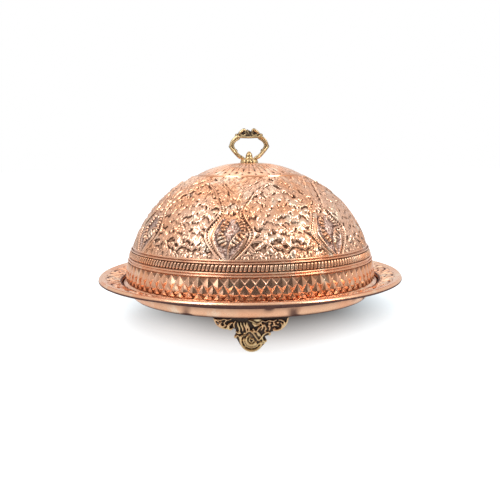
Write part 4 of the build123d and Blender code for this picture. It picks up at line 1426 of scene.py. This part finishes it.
def rosette_petal():
    """One petal of the rosette: a swollen lobe that narrows towards the middle."""
    out, round_it = np.meshgrid(np.sin(np.linspace(0, pi / 2, 11)) ** 0.8, np.linspace(-1, 1, 9))
    swell = np.sqrt(np.clip(1 - round_it ** 2, 0, 1))
    radius = 2.2 + 6.7 * out * (0.88 + 0.12 * swell)
    angle = round_it * pi / rosette_petals
    dome = np.clip(1 - out ** 6, 0, 1) ** 0.5
    height = lid_top + 0.1 + 4.1 * dome * (0.60 + 0.40 * swell) * (1 - 0.16 * out)
    piece = add_mesh("petal", about_axis(radius, angle, height), sheet_faces(8, 10)[:, ::-1])
    mark(piece, "hollow", 0.85 * (1 - swell) ** 1.4)
    return piece


rosette = ring_of("rosette_petals", rosette_petal(), rosette_petals, ring_brass)
collar_line = [(screw_hole, lid_top + 0.02), (7.2, lid_top + 0.02), (6.6, lid_top + 1.4),
               (5.9, lid_top + 2.6), (screw_hole, lid_top + 2.6)]
collar = turned("rosette_collar", [collar_line], ring_brass, steps=64)
rosette = joined("handle_rosette_casting", rosette, collar)
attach(rosette, "lid")
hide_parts("handle_rosette")

# %% [markdown]
# The acorn inside the ring is the head of the screw that holds the handle. It is turned like the
# bands, but seven grooves are pressed into it on the way, and its shank carries a coarse thread.

# %% Acorn screw
def acorn():
    """Ribbed acorn on a collar, and the shank that goes down through the lid."""
    foot_z, steps = 165.5, 80
    section = [(3.9, foot_z), (3.9, foot_z + 0.5), (3.55, foot_z + 0.8), (3.5, foot_z + 1.6),
               (3.3, foot_z + 2.7), (2.9, foot_z + 3.8), (2.3, foot_z + 4.9), (1.45, foot_z + 5.9),
               (0.6, foot_z + 6.5), (0.01, foot_z + 6.7)]
    shank = [(0.01, 154.4), (1.6, 154.4), (2.0, 154.9)]
    for thread in range(8):
        shank += [(2.0, 155.1 + 0.5 * thread), (1.7, 155.35 + 0.5 * thread)]
    shank += [(2.0, 159.4), (2.0, foot_z)]
    r, z = (np.array([q[i] for q in shank + section]) for i in (0, 1))
    angles = np.linspace(0, 2 * pi, steps, endpoint=False)
    r, a = np.meshgrid(r, angles)
    z = np.meshgrid(z, angles)[0]
    rib = np.where((z > foot_z + 1.2) & (z < foot_z + 6.2), 1 - np.abs(np.sin(3.5 * a)) ** 0.5, 0)
    r = r * (1 - 0.14 * rib)
    n = r.shape[1]
    here = np.arange(steps)[:, None] * n + np.arange(n - 1)[None, :]
    after = (here + n) % (steps * n)
    faces = np.stack([here, after, after + 1, here + 1], axis=-1).reshape(-1, 4)
    piece = add_mesh("acorn_screw_turned", about_axis(r, a, z), faces, ring_brass)
    mark(piece, "hollow", rib)
    piece.data.set_sharp_from_angle(angle=radians(50))
    return piece


acorn_piece = acorn()
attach(acorn_piece, "lid")
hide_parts("acorn_screw")
print("acorn:", len(acorn_piece.data.polygons), "faces")

# %% [markdown]
# ## Small pieces
#
# Wires, washer, nut and rivets are plain enough as packed. They keep their shape and only get a
# finish.

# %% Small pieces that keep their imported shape
finishes = {"rim_wire": steel, "lid_wire": steel, "inner_washer": plain_brass, "inner_nut": plain_brass}
finishes.update({name: rivet_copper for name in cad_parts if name.endswith("rivet")})
for name, finish in finishes.items():
    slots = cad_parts[name].data.materials
    slots.clear()
    slots.append(finish)
print("small pieces:", len(finishes))
